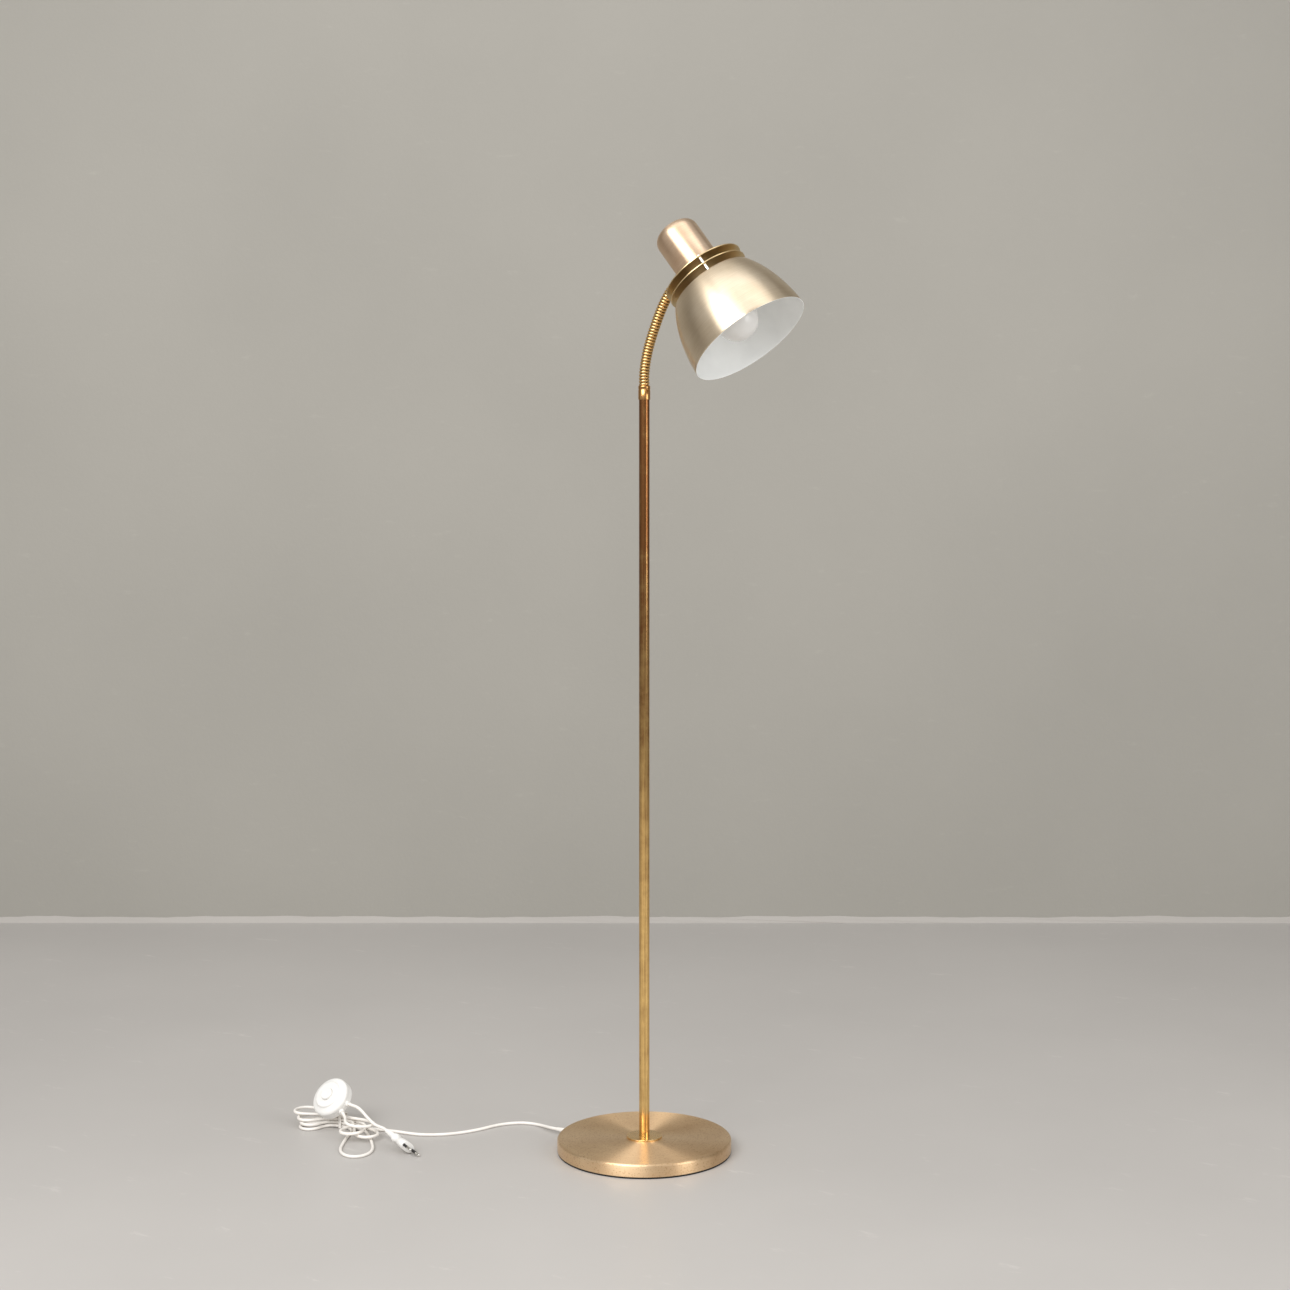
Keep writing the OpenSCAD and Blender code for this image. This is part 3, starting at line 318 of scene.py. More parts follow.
def evenLine(points, step):  # a smooth line through the points, as points at even distances on it
    dense = []
    last = len(points) - 1
    for i in range(last):
        a, b, c, d = (points[max(0, min(last, i + k))] for k in (-1, 0, 1, 2))
        before, here, after = (math.sqrt((q - p).length) or 1 for p, q in ((a, b), (b, c), (c, d)))
        leave = arrive = c - b
        if i:
            leave = here * ((b - a) / before - (c - a) / (before + here) + (c - b) / here)
        if i < last - 1:
            arrive = here * ((c - b) / here - (d - b) / (here + after) + (d - c) / after)
        for n in range(8):
            t = n / 8
            dense.append((2 * t ** 3 - 3 * t * t + 1) * b + (t ** 3 - 2 * t * t + t) * leave
                         + (3 * t * t - 2 * t ** 3) * c + (t ** 3 - t * t) * arrive)
    dense.append(points[-1])
    lengths = [0.0]
    for a, b in zip(dense, dense[1:]):
        lengths.append(lengths[-1] + (b - a).length)
    count = round(lengths[-1] / step)
    even, j = [], 0
    for i in range(count + 1):
        s = lengths[-1] * i / count
        while j < len(dense) - 2 and lengths[j + 1] < s:
            j += 1
        share = min(1, (s - lengths[j]) / (lengths[j + 1] - lengths[j]))
        even.append(dense[j].lerp(dense[j + 1], share))
    return even


def softened(points, rounds, low):  # evens the bends out without shrinking them, never below low
    points = [point.copy() for point in points]
    for _ in range(rounds):
        for share in (0.5, -0.51):
            moves = [((a + c) / 2 - b) * share for a, b, c in zip(points, points[1:], points[2:])]
            for point, move in zip(points[1:-1], moves):
                point += move
                point.z = max(point.z, low)
    return points


def cordCurve(name, points, finish):  # one open spline, its points in millimetres
    curve = bpy.data.curves.new(name, "CURVE")
    curve.dimensions = "3D"
    curve.bevel_depth = cord["width"] / 2 * mm
    curve.bevel_resolution = 5
    curve.resolution_u = 2
    curve.use_fill_caps = True
    spline = curve.splines.new("BEZIER")
    spline.bezier_points.add(len(points) - 1)
    for knot, point in zip(spline.bezier_points, points):
        knot.co = Vector(point) * mm
        knot.handle_left_type = knot.handle_right_type = "AUTO"
    curve.materials.append(finish)
    piece = bpy.data.objects.new(name, curve)
    scene.collection.objects.link(piece)
    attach(piece, "stand")
    return piece


def plasticFinish(name, colour, rough, shade=0.93, grain=900, bump=0.05):
    finish, tree, shader, place = newFinish(name, Roughness=rough)
    cloud = addNode(tree, "ShaderNodeTexNoise", {"Vector": place, "Scale": 38.0, "Detail": 5.0})
    ramp = addNode(tree, "ShaderNodeValToRGB", {"Fac": cloud.outputs["Fac"]})
    ramp.color_ramp.elements[0].position = 0.35
    ramp.color_ramp.elements[0].color = tone(*[c * shade for c in colour])
    ramp.color_ramp.elements[1].position = 0.6
    ramp.color_ramp.elements[1].color = tone(*colour)
    tree.links.new(ramp.outputs["Color"], shader.inputs["Base Color"])
    fine = addNode(tree, "ShaderNodeTexNoise", {"Vector": place, "Scale": float(grain),
                                                "Detail": 2.0})
    relief = addNode(tree, "ShaderNodeBump", {"Height": fine.outputs["Fac"], "Strength": bump,
                                              "Distance": 0.0004})
    tree.links.new(relief.outputs[0], shader.inputs["Normal"])
    return finish


cordWhite = plasticFinish("cordWhite", (243, 238, 231), 0.42, 0.96)
hank = hankPoints()
hankWay = (hank[1] - hank[0]).normalized()
hankEnd = (hank[-1] - hank[-2]).normalized()
inletA, wayA = inlet(0)
inletB, wayB = inlet(1)
plugWay = plugPlace.to_3x3() @ Vector((1, 0, 0))
plugTail = Vector(plug["at"]) - (plug["length"] + plug["reliefLength"]) * plugWay
stub = cord["stub"]
mainRoute = ([Vector(cord["exit"]), Vector(cord["exit"]) - Vector((5, 0, 0))]
             + [Vector(p) for p in cord["leadPoints"]] + [hank[0] - stub * hankWay] + hank
             + [hank[-1] + stub * hankEnd] + [Vector(p) for p in cord["switchPoints"]]
             + [inletA + stub * wayA, inletA + 2 * wayA, inletA - 5 * wayA])
plugRoute = ([inletB - 5 * wayB, inletB + stub * wayB] + [Vector(p) for p in cord["plugPoints"]]
             + [plugTail - stub * plugWay, plugTail + 4 * plugWay])
mainCord = cordCurve("mainCord", softened(evenLine(mainRoute, 5), 30, cord["lie"]), cordWhite)
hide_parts("cord_lead", "cord_hank", "cord_switch_lead")
plugCord = cordCurve("plugCord", plugRoute, cordWhite)
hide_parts("cord_plug_lead")
print("cords laid")


# Shapes that the pieces share

def outline(bm, points, rounds=None, closed=True):  # a line in the XZ plane, some corners rounded
    corners = [bm.verts.new((x * mm, 0, z * mm)) for x, z in points]
    for a, b in zip(corners, corners[1:]):
        bm.edges.new((a, b))
    if closed:
        bm.edges.new((corners[-1], corners[0]))
    for radius in sorted(set((rounds or {}).values())):
        bmesh.ops.bevel(bm, geom=[corners[i] for i, r in rounds.items() if r == radius],
                        offset=radius * mm, offset_type="OFFSET", segments=7, profile=0.5,
                        affect="VERTICES", material=-1)


def spinFull(bm, steps):
    bmesh.ops.spin(bm, geom=bm.verts[:] + bm.edges[:], cent=(0, 0, 0), axis=(0, 0, 1),
                   dvec=(0, 0, 0), angle=2 * math.pi, steps=steps, use_merge=True,
                   use_normal_flip=False, use_duplicate=False)
    bmesh.ops.remove_doubles(bm, verts=bm.verts, dist=1e-6)
    bmesh.ops.recalc_face_normals(bm, faces=bm.faces)


def finishPiece(name, bm, body, finishes, nodes=(), place=None, sharp=40):
    if place:
        bmesh.ops.transform(bm, matrix=place, verts=bm.verts)
    mesh = bpy.data.meshes.new(name)
    bm.to_mesh(mesh)
    bm.free()
    mesh.polygons.foreach_set("use_smooth", [True] * len(mesh.polygons))
    mesh.set_sharp_from_angle(angle=math.radians(sharp))
    for finish in finishes:
        mesh.materials.append(finish)
    piece = bpy.data.objects.new(name, mesh)
    scene.collection.objects.link(piece)
    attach(piece, body)
    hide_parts(*nodes)
    return piece


def spunPiece(name, points, body, finishes, nodes=(), place=None, rounds=None,
              closed=True, steps=128, sharp=40):
    bm = bmesh.new()
    outline(bm, points, rounds, closed)
    spinFull(bm, steps)
    return finishPiece(name, bm, body, finishes, nodes, place, sharp)


def addWall(piece, thickness, inside=0):  # sheet metal, its wall inside the drawn line
    wall = piece.modifiers.new("wall", "SOLIDIFY")
    wall.thickness = thickness * mm
    wall.offset = -1
    wall.material_offset = wall.material_offset_rim = inside
    rim = piece.modifiers.new("rim", "BEVEL")
    rim.width = thickness * 0.3 * mm
    rim.segments = 2
    rim.limit_method = "ANGLE"
    rim.angle_limit = math.radians(50)


# Metal finishes

def roundBrass(name, colour, deep, rough, lines=2300, spots=0.0, centre=(0, 0, 0), tilt=0,
               aniso=0.75, bump=0.05):
    # spun metal: fine lines run round the axis, and reflections spread across them
    finish, tree, shader, place = newFinish(name, Metallic=1.0, Anisotropic=aniso)
    shader.inputs["Anisotropic Rotation"].default_value = 0.25
    local = addNode(tree, "ShaderNodeMapping", {"Vector": place, "Location": centre,
                                                "Rotation": (0, math.radians(tilt), 0)},
                    vector_type="TEXTURE").outputs[0]
    flat = addNode(tree, "ShaderNodeVectorMath", {0: local, 1: (1, 1, 0)},
                   operation="MULTIPLY").outputs[0]
    reach = addNode(tree, "ShaderNodeVectorMath", {0: flat}, operation="LENGTH").outputs["Value"]
    parts = addNode(tree, "ShaderNodeSeparateXYZ", {0: local}).outputs
    along = addNode(tree, "ShaderNodeCombineXYZ", {"X": reach, "Y": parts["Z"],
                                                   "Z": 0.0}).outputs[0]
    drift = addNode(tree, "ShaderNodeVectorMath", {0: flat, 1: (0.012, 0.012, 0)},
                    operation="MULTIPLY").outputs[0]
    grain = addNode(tree, "ShaderNodeVectorMath", {0: along, 1: drift}, operation="ADD").outputs[0]
    fine = addNode(tree, "ShaderNodeTexNoise", {"Vector": grain, "Scale": float(lines),
                                                "Detail": 3.0}).outputs["Fac"]
    cloud = addNode(tree, "ShaderNodeTexNoise", {"Vector": place, "Scale": 14.0,
                                                 "Detail": 6.0}).outputs["Fac"]
    speck = addNode(tree, "ShaderNodeTexNoise", {"Vector": place, "Scale": 420.0,
                                                 "Detail": 4.0}).outputs["Fac"]
    speckTone = addNode(tree, "ShaderNodeMapRange", {"Value": speck, "From Min": 0.56,
                                                     "From Max": 0.74, "To Min": 0.0,
                                                     "To Max": spots}).outputs[0]
    blend = addNode(tree, "ShaderNodeMath", {0: fine, 1: 0.5}, operation="MULTIPLY").outputs[0]
    blend = addNode(tree, "ShaderNodeMath", {0: cloud, 1: 0.6, 2: blend},
                    operation="MULTIPLY_ADD").outputs[0]
    blend = addNode(tree, "ShaderNodeMath", {0: blend, 1: speckTone}, operation="ADD").outputs[0]
    ramp = addNode(tree, "ShaderNodeValToRGB", {"Fac": blend})
    ramp.color_ramp.elements[0].position = 0.38
    ramp.color_ramp.elements[0].color = tone(*colour)
    ramp.color_ramp.elements[1].position = 0.82
    ramp.color_ramp.elements[1].color = tone(*deep)
    tree.links.new(ramp.outputs["Color"], shader.inputs["Base Color"])
    roughness = addNode(tree, "ShaderNodeMapRange", {"Value": blend, "From Min": 0.3,
                                                     "From Max": 0.9, "To Min": rough - 0.05,
                                                     "To Max": rough + 0.09}).outputs[0]
    tree.links.new(roughness, shader.inputs["Roughness"])
    relief = addNode(tree, "ShaderNodeBump", {"Height": fine, "Strength": bump,
                                              "Distance": 0.0002})
    tree.links.new(relief.outputs[0], shader.inputs["Normal"])
    axis = Matrix.Rotation(math.radians(tilt), 3, "Y") @ Vector((0, 0, 1))
    arm = addNode(tree, "ShaderNodeVectorMath", {0: place, 1: centre},
                  operation="SUBTRACT").outputs[0]
    across = addNode(tree, "ShaderNodeVectorMath", {0: axis, 1: arm},
                     operation="CROSS_PRODUCT").outputs[0]
    across = addNode(tree, "ShaderNodeVectorMath", {0: across}, operation="NORMALIZE").outputs[0]
    across = addNode(tree, "ShaderNodeVectorTransform", {0: across}, vector_type="VECTOR",
                     convert_from="OBJECT", convert_to="WORLD").outputs[0]
    tree.links.new(across, shader.inputs["Tangent"])
    return finish


def drawnMetal(name, colour, deep, rough, fade=None, streak=(700, 700, 9), cover=0.5, bump=0.03,
               hollow=""):
    # polished or drawn metal with lengthwise streaks; fade darkens it between two heights, and
    # hollow names an attribute of the mesh that says how deep a point lies in a groove, where
    # painted shade darkens the colour
    finish, tree, shader, place = newFinish(name, Metallic=1.0)
    stretched = addNode(tree, "ShaderNodeMapping", {"Vector": place, "Scale": streak}).outputs[0]
    fine = addNode(tree, "ShaderNodeTexNoise", {"Vector": stretched, "Scale": 1.0,
                                                "Detail": 4.0}).outputs["Fac"]
    cloud = addNode(tree, "ShaderNodeTexNoise", {"Vector": place, "Scale": 60.0, "Detail": 7.0,
                                                 "Roughness": 0.6}).outputs["Fac"]
    blend = addNode(tree, "ShaderNodeMath", {0: fine, 1: cloud}, operation="MULTIPLY").outputs[0]
    blend = addNode(tree, "ShaderNodeMapRange", {"Value": blend, "From Min": 0.15,
                                                 "From Max": 0.4, "To Min": 0.0,
                                                 "To Max": cover}).outputs[0]
    if fade:
        height = addNode(tree, "ShaderNodeSeparateXYZ", {0: place}).outputs["Z"]
        grown = addNode(tree, "ShaderNodeMapRange", {"Value": height, "From Min": fade[0],
                                                     "From Max": fade[1], "To Min": 0.0,
                                                     "To Max": fade[2]},
                        interpolation_type="SMOOTHSTEP").outputs[0]
        blend = addNode(tree, "ShaderNodeMath", {0: blend, 1: grown}, operation="ADD",
                        use_clamp=True).outputs[0]
    ramp = addNode(tree, "ShaderNodeValToRGB", {"Fac": blend})
    ramp.color_ramp.elements[0].color = tone(*colour)
    ramp.color_ramp.elements[1].color = tone(*deep)
    shown = ramp.outputs["Color"]
    if hollow:
        # painted shade: deep in a groove the colour is darkened to a tenth, for the shade that
        # falls there
        depth = addNode(tree, "ShaderNodeAttribute", attribute_name=hollow).outputs["Fac"]
        grooveShade = addNode(tree, "ShaderNodeMapRange", {"Value": depth, "From Min": 0.2,
                                                    "From Max": 0.6, "To Min": 1.0,
                                                    "To Max": 0.1}).outputs[0]
        shown = addNode(tree, "ShaderNodeVectorMath", {0: shown, 1: grooveShade},
                        operation="MULTIPLY").outputs[0]
    tree.links.new(shown, shader.inputs["Base Color"])
    roughness = addNode(tree, "ShaderNodeMapRange", {"Value": blend, "To Min": rough,
                                                     "To Max": rough + 0.14}).outputs[0]
    tree.links.new(roughness, shader.inputs["Roughness"])
    relief = addNode(tree, "ShaderNodeBump", {"Height": fine, "Strength": bump,
                                              "Distance": 0.0002})
    tree.links.new(relief.outputs[0], shader.inputs["Normal"])
    return finish


# Base

base = {
    "radius": 125, "padHeight": 2.5, "top": 20.5, "edge": 3.5, "wall": 1.2, "padInset": 0.8,
    "collarRadius": 25.5, "collarHeight": 2.5, "collarHole": 7.6,
}
spunBrass = roundBrass("spunBrass", (251, 221, 180), (220, 183, 140), 0.38, spots=0.5, aniso=0.93)
warmBrass = drawnMetal("warmBrass", (236, 202, 146), (200, 160, 108), 0.26)
padBlack = plasticFinish("padBlack", (22, 21, 20), 0.75, 0.8, 500, 0.3)


def makeBase():
    r, top = base["radius"], base["top"]
    cover = spunPiece("baseCover", [(6, top), (r, top), (r, base["padHeight"])], "stand",
                      [spunBrass], ["base_cover"], rounds={1: base["edge"]},
                      closed=False, steps=256)
    addWall(cover, base["wall"])
    r, high = r - base["padInset"], base["padHeight"]
    spunPiece("basePad", [(0, 0), (r, 0), (r, high), (0, high)], "stand", [padBlack],
              ["base_pad"], rounds={1: 0.4}, closed=False, steps=192)
    r, high, hole = base["collarRadius"], top + base["collarHeight"], base["collarHole"]
    spunPiece("stemCollar", [(hole, top), (r, top), (r, high), (hole, high)], "stand",
              [warmBrass], ["stem_collar"], rounds={2: 0.6}, steps=128)
    print("base made")


makeBase()


# Stem and gooseneck

stem = {"radius": 7.5, "foot": 22, "ferruleFoot": 1077.5, "ferruleTop": 1098, "ferruleRadius": 8.5}
neck = {
    "radius": 7.5, "groove": 1.7, "pitch": 4.35, "linkLength": 17.4,
    "tilts": (7, 13, 18, 21, 23, 26.5, 33, 42.5), "firstPivot": 1112.5125, "endTilt": 51.4,
    "endRibs": 6.0, "collarRadius": 8.5, "collarLength": 4.6, "turnSteps": 40,
    "parting": 0.03,  # between a sleeve's end and its joint
}
agedBrass = drawnMetal("agedBrass", (240, 200, 130), (132, 88, 52), 0.1, fade=(0.3, 1.0, 0.85))
ferruleBrass = drawnMetal("ferruleBrass", (208, 158, 98), (132, 88, 50), 0.16,
                          streak=(300, 300, 60))
neckBrass = drawnMetal("neckBrass", (238, 196, 130), (190, 136, 78), 0.2, streak=(300, 300, 300),
                       cover=0.35, hollow="groove")


def neckPivots():
    points = [Vector((0, 0, neck["firstPivot"]))]
    for tilt in neck["tilts"]:
        a = math.radians(tilt)
        points.append(points[-1] + neck["linkLength"] * Vector((math.sin(a), 0, math.cos(a))))
    return points


def neckLine():  # the neck's middle line: places on it, half a millimetre apart, and their lengths
    a = math.radians(neck["endTilt"])
    tip = Vector((math.sin(a), 0, math.cos(a)))
    pivots = neckPivots()
    foot = Vector((0, 0, stem["ferruleTop"]))
    knots = [foot - Vector((0, 0, 12)), foot] + pivots \
        + [pivots[-1] + 12 * tip, pivots[-1] + 26 * tip]
    places = []
    for a, b, c, d in zip(knots, knots[1:], knots[2:], knots[3:]):
        for i in range(32):
            t = i / 32
            places.append(0.5 * (2 * b + (c - a) * t + (2 * a - 5 * b + 4 * c - d) * t * t
                                 + (3 * b - a - 3 * c + d) * t * t * t))
    places.append(knots[-2])
    lengths = [0.0]
    for a, b in zip(places, places[1:]):
        lengths.append(lengths[-1] + (b - a).length)
    return places, lengths


def onLine(line, s):  # the place and the way at length s
    places, lengths = line
    low, high = 0, len(lengths) - 1
    while high - low > 1:
        middle = (low + high) // 2
        if lengths[middle] <= s:
            low = middle
        else:
            high = middle
    way = (places[high] - places[low]).normalized()
    return places[low] + way * (s - lengths[low]), way


def bendTowards(piece, body, weights):
    group = piece.vertex_groups.new(name=body)
    for index, weight in enumerate(weights):
        if weight > 0:
            group.add([index], weight, "REPLACE")
    bend = piece.modifiers.new(body, "HOOK")
    bend.object = frame["bodies"][body]
    bend.matrix_inverse = Matrix.Identity(4)
    bend.vertex_group = group.name
    bend.falloff_type = "NONE"


def zoneShares(piece, line, low, high):
    # for each vertex, 0 at the foot of a joint's length of the neck and 1 at its top
    foot, top = onLine(line, low)[0] * mm, onLine(line, high)[0] * mm
    way = (top - foot) / (top - foot).length_squared
    return [eased((vert.co - foot).dot(way)) for vert in piece.data.vertices]


def neckSleeve(name, line, start, end, nodes, body):
    # one length of wound tube, as a rib carried round and up, cut at both ends and bent
    bm = bmesh.new()
    pitch, steps = neck["pitch"], neck["turnSteps"]
    first = math.floor(start / pitch) - 1
    turns = math.ceil(end / pitch) + 1 - first
    rib = []
    for i in range(9):
        a = math.pi * i / 8
        rib.append((neck["radius"] - neck["groove"] * (1 - math.sin(a) ** 0.8),
                    first * pitch + pitch * (0.5 - 0.5 * math.cos(a)) * 0.94 + pitch * 0.03))
    rib = [(neck["radius"] - neck["groove"] * 1.1, first * pitch)] + rib \
        + [(neck["radius"] - neck["groove"] * 1.1, (first + 1) * pitch)]
    outline(bm, rib, closed=False)
    bmesh.ops.spin(bm, geom=bm.verts[:] + bm.edges[:], cent=(0, 0, 0), axis=(0, 0, 1),
                   dvec=(0, 0, pitch * mm / steps), angle=2 * math.pi * turns, steps=steps * turns,
                   use_merge=False, use_normal_flip=False, use_duplicate=False)
    bmesh.ops.remove_doubles(bm, verts=bm.verts, dist=2e-6)
    for height, side in ((start + neck["parting"], False), (end - neck["parting"], True)):
        bmesh.ops.bisect_plane(bm, geom=bm.verts[:] + bm.edges[:] + bm.faces[:], dist=1e-7,
                               plane_co=(0, 0, height * mm), plane_no=(0, 0, 1),
                               clear_outer=side, clear_inner=not side)
    bmesh.ops.holes_fill(bm, edges=[e for e in bm.edges if e.is_boundary], sides=0)
    bmesh.ops.recalc_face_normals(bm, faces=bm.faces)
    # how deep each point lies in a groove; the neck's finish paints shade there
    depth = bm.verts.layers.float.new("groove")
    for vert in bm.verts:
        vert[depth] = min(1, (neck["radius"] - vert.co.xy.length / mm) / neck["groove"])
        centre, way = onLine(line, vert.co.z / mm)
        side = Vector((way.z, 0, -way.x))
        vert.co = centre * mm + side * vert.co.x + Vector((0, vert.co.y, 0))
    return finishPiece(name, bm, body, [neckBrass], nodes, sharp=50)


def makeNeck():
    r, foot, top = stem["radius"], stem["foot"], stem["ferruleFoot"] + 10
    spunPiece("stemTube", [(r - 1, foot), (r, foot), (r, top), (r - 1, top)], "stand",
              [agedBrass], ["stem_tube"], steps=96)
    foot, top, r = stem["ferruleFoot"], stem["ferruleTop"], stem["ferruleRadius"]
    # the ferrule has a shallow groove round it, and a wide bore below and a narrow one above
    spunPiece("neckFerrule", [(7.6, foot), (r, foot), (r, foot + 13.5), (r - 0.35, foot + 14.2),
                              (r - 0.35, foot + 14.9), (r, foot + 15.6), (r, top), (5.2, top),
                              (5.2, foot + 11.5), (7.6, foot + 11.5)],
              "stand", [ferruleBrass], ["neck_ferrule"], rounds={1: 0.4, 6: 2.2},
              steps=96)
    line = neckLine()
    pivotLengths = [neck["firstPivot"] - stem["ferruleTop"]]
    for a, b in zip(neckPivots(), neckPivots()[1:]):
        near = pivotLengths[-1] + (b - a).length
        best = min(range(len(line[0])), key=lambda i: (line[0][i] - b).length)
        pivotLengths.append(line[1][best] if abs(line[1][best] - near) < 3 else near)
    last = pivotLengths[-1] + neck["endRibs"] + 0.3
    ends = [0.0] + pivotLengths + [last]
    zones = [0.0] + [(a + b) / 2 for a, b in zip(pivotLengths, pivotLengths[1:])] + [last]
    bodies = ["stand"] + ["neck_%d" % i for i in range(1, 9)] + ["head"]
    nodes = [["neck_base"]] + [["neck_link_%d" % i] for i in range(1, 9)] + [[]]
    for k, body in enumerate(bodies):
        piece = neckSleeve("neckSleeve%d" % (k + 1), line, ends[k], ends[k + 1], nodes[k], body)
        if k:
            shares = zoneShares(piece, line, zones[k - 1], zones[k])
            bendTowards(piece, bodies[k - 1], [1 - share for share in shares])
        if body != "head":
            bendTowards(piece, bodies[k + 1], zoneShares(piece, line, zones[k], zones[k + 1]))
    end = onLine(line, pivotLengths[-1] + neck["endRibs"])[0]
    turned = Matrix.Translation(end * mm) @ Matrix.Rotation(math.radians(neck["endTilt"]), 4, "Y")
    r, high = neck["collarRadius"], neck["collarLength"]
    spunPiece("neckCollar", [(2.9, 0), (r, 0), (r, high), (5, high), (5, 14.5), (2.9, 14.5)],
              "head", [neckBrass], ["neck_end"], place=turned, rounds={1: 0.8},
              steps=64)
    print("stem and neck made")


makeNeck()


# Head: cap, rings, screws, shade and bulb, drawn with the shade hanging straight down

head = {
    "at": (95.876, 0, 1251.942), "tilt": 38.6, "capRadius": 32, "capLength": 80, "capEdge": 15,
    "wall": 1, "ringRadius": 60.5, "ringThickness": 1.5, "ringPitch": 12, "holeRadius": 20.5,
    "screwCircle": 110, "screwTurn": -60, "mouthWidth": 176, "shadeHeight": 96,
    "pull": (85, -37), "bulbDepth": 85.5, "bulbRadius": 30, "bulbNeck": -35.3,
}
screw = {"radius": 1.5, "length": 28.4, "headRadius": 3.1, "headHeight": 2.6, "headEdge": 0.9,
         "slotHalf": 0.45, "slotFloor": 1.4}
headPlace = placed(head["at"], 0, -head["tilt"], 0)
headCentre = Vector(head["at"]) * mm
shadeBrass = roundBrass("shadeBrass", (234, 218, 194), (197, 174, 139), 0.33, centre=headCentre,
                        tilt=-head["tilt"], aniso=0.8)
capBrass = roundBrass("capBrass", (243, 219, 192), (208, 170, 134), 0.34, centre=headCentre,
                      tilt=-head["tilt"], aniso=0.8)
ringBrass = roundBrass("ringBrass", (232, 210, 164), (200, 172, 124), 0.3, centre=headCentre,
                       tilt=-head["tilt"], aniso=0.3)
shadeWhite = plasticFinish("shadeWhite", (251, 252, 250), 0.38, 0.98, 1200, 0.04)
nickel = drawnMetal("nickel", (238, 236, 231), (190, 187, 181), 0.2, streak=(400, 400, 400))


def shadeSide(u):  # the shade's outline from its ring, at 0, down to its mouth, at 1
    r, (pullX, pullZ) = head["ringRadius"], head["pull"]
    return ((1 - u) ** 2 * r + 2 * u * (1 - u) * pullX + u * u * head["mouthWidth"] / 2,
            2 * u * (1 - u) * pullZ - u * u * head["shadeHeight"])


def slottedScrews(name, nodes):  # three long screws, each with a slotted head
    bm = bmesh.new()
    near = 4 * mm  # the screws made before lie further out than this
    for k in range(3):
        a = math.radians(head["screwTurn"] + 120 * k)
        r, long = screw["radius"] * mm, screw["length"] * mm
        shaft = bmesh.ops.create_cone(bm, cap_ends=True, segments=20, radius1=r, radius2=r,
                                      depth=long)["verts"]
        bmesh.ops.translate(bm, vec=(0, 0, -long / 2), verts=shaft)
        r, high = screw["headRadius"] * mm, screw["headHeight"] * mm
        knob = bmesh.ops.create_cone(bm, cap_ends=True, segments=32, radius1=r, radius2=r,
                                     depth=high)["verts"]
        bmesh.ops.translate(bm, vec=(0, 0, high / 2), verts=knob)
        rim = [e for e in bm.edges if e.verts[0] in knob and e.verts[1] in knob
               and min(v.co.z for v in e.verts) > high - 0.1 * mm]
        bmesh.ops.bevel(bm, geom=rim, offset=screw["headEdge"] * mm, offset_type="OFFSET",
                        segments=4, profile=0.5, affect="EDGES", material=-1)
        for side in (-screw["slotHalf"], screw["slotHalf"]):
            part = [f for f in bm.faces if f.calc_center_median().xy.length < near
                    and f.calc_center_median().z > -0.1 * mm]
            parts = part + list({e for f in part for e in f.edges}) \
                + list({v for f in part for v in f.verts})
            bmesh.ops.bisect_plane(bm, geom=parts, dist=1e-7, plane_co=(side * mm, 0, 0),
                                   plane_no=(1, 0, 0))
        slot = []
        for face in bm.faces:
            middle = face.calc_center_median()
            if (face.normal.z > 0.2 and abs(middle.x) < (screw["slotHalf"] - 0.01) * mm
                    and middle.z > high - 1 * mm and middle.xy.length < near):
                slot.append(face)
        grown = bmesh.ops.extrude_face_region(bm, geom=slot)["geom"]
        bmesh.ops.delete(bm, geom=slot, context="FACES")
        for vert in [g for g in grown if isinstance(g, bmesh.types.BMVert)]:
            vert.co.z = min(vert.co.z, screw["slotFloor"] * mm)
        fresh = [v for v in bm.verts if v.co.xy.length < near]
        turned = Matrix.Rotation(0.6 + 1.9 * k, 3, "Z")
        bmesh.ops.rotate(bm, cent=(0, 0, 0), matrix=turned, verts=fresh)
        out = Vector((math.cos(a), math.sin(a), 0)) * head["screwCircle"] / 2 * mm
        bmesh.ops.translate(bm, vec=out, verts=fresh)
    bmesh.ops.recalc_face_normals(bm, faces=bm.faces)
    return finishPiece(name, bm, "head", [nickel], nodes, headPlace)


def makeHead():
    r, high = head["capRadius"], head["capLength"]
    cap = spunPiece("cap", [(r, 0), (r, high), (0, high)], "head", [capBrass],
                    ["cap"], headPlace, {1: head["capEdge"]}, False, 160)
    addWall(cap, head["wall"])
    r, hole = head["ringRadius"], head["holeRadius"]
    for name, z, node in (("upperRing", 0, "ring_upper"),
                          ("lowerRing", -head["ringPitch"], "ring_lower")):
        low = z - head["ringThickness"]
        spunPiece(name, [(hole, low), (r, low), (r, z), (hole, z)], "head",
                  [ringBrass], [node], headPlace, {1: 0.4, 2: 0.4}, True, 192)
    top = -2 * head["ringPitch"]
    side = [shadeSide(i / 28) for i in range(29)]
    shade = spunPiece("shade", [(20, top)] + [(x, z + top) for x, z in side], "head",
                      [shadeBrass, shadeWhite], ["shade"], headPlace, {1: 1.2}, False, 256)
    addWall(shade, head["wall"], 1)
    slottedScrews("headScrews", ["head_screws"])
    print("head made")


makeHead()


bulb = {"neckRadius": 13.6, "glass": 1}
bulbWhite = plasticFinish("bulbWhite", (246, 244, 240), 0.22, 0.98, 300, 0.01)


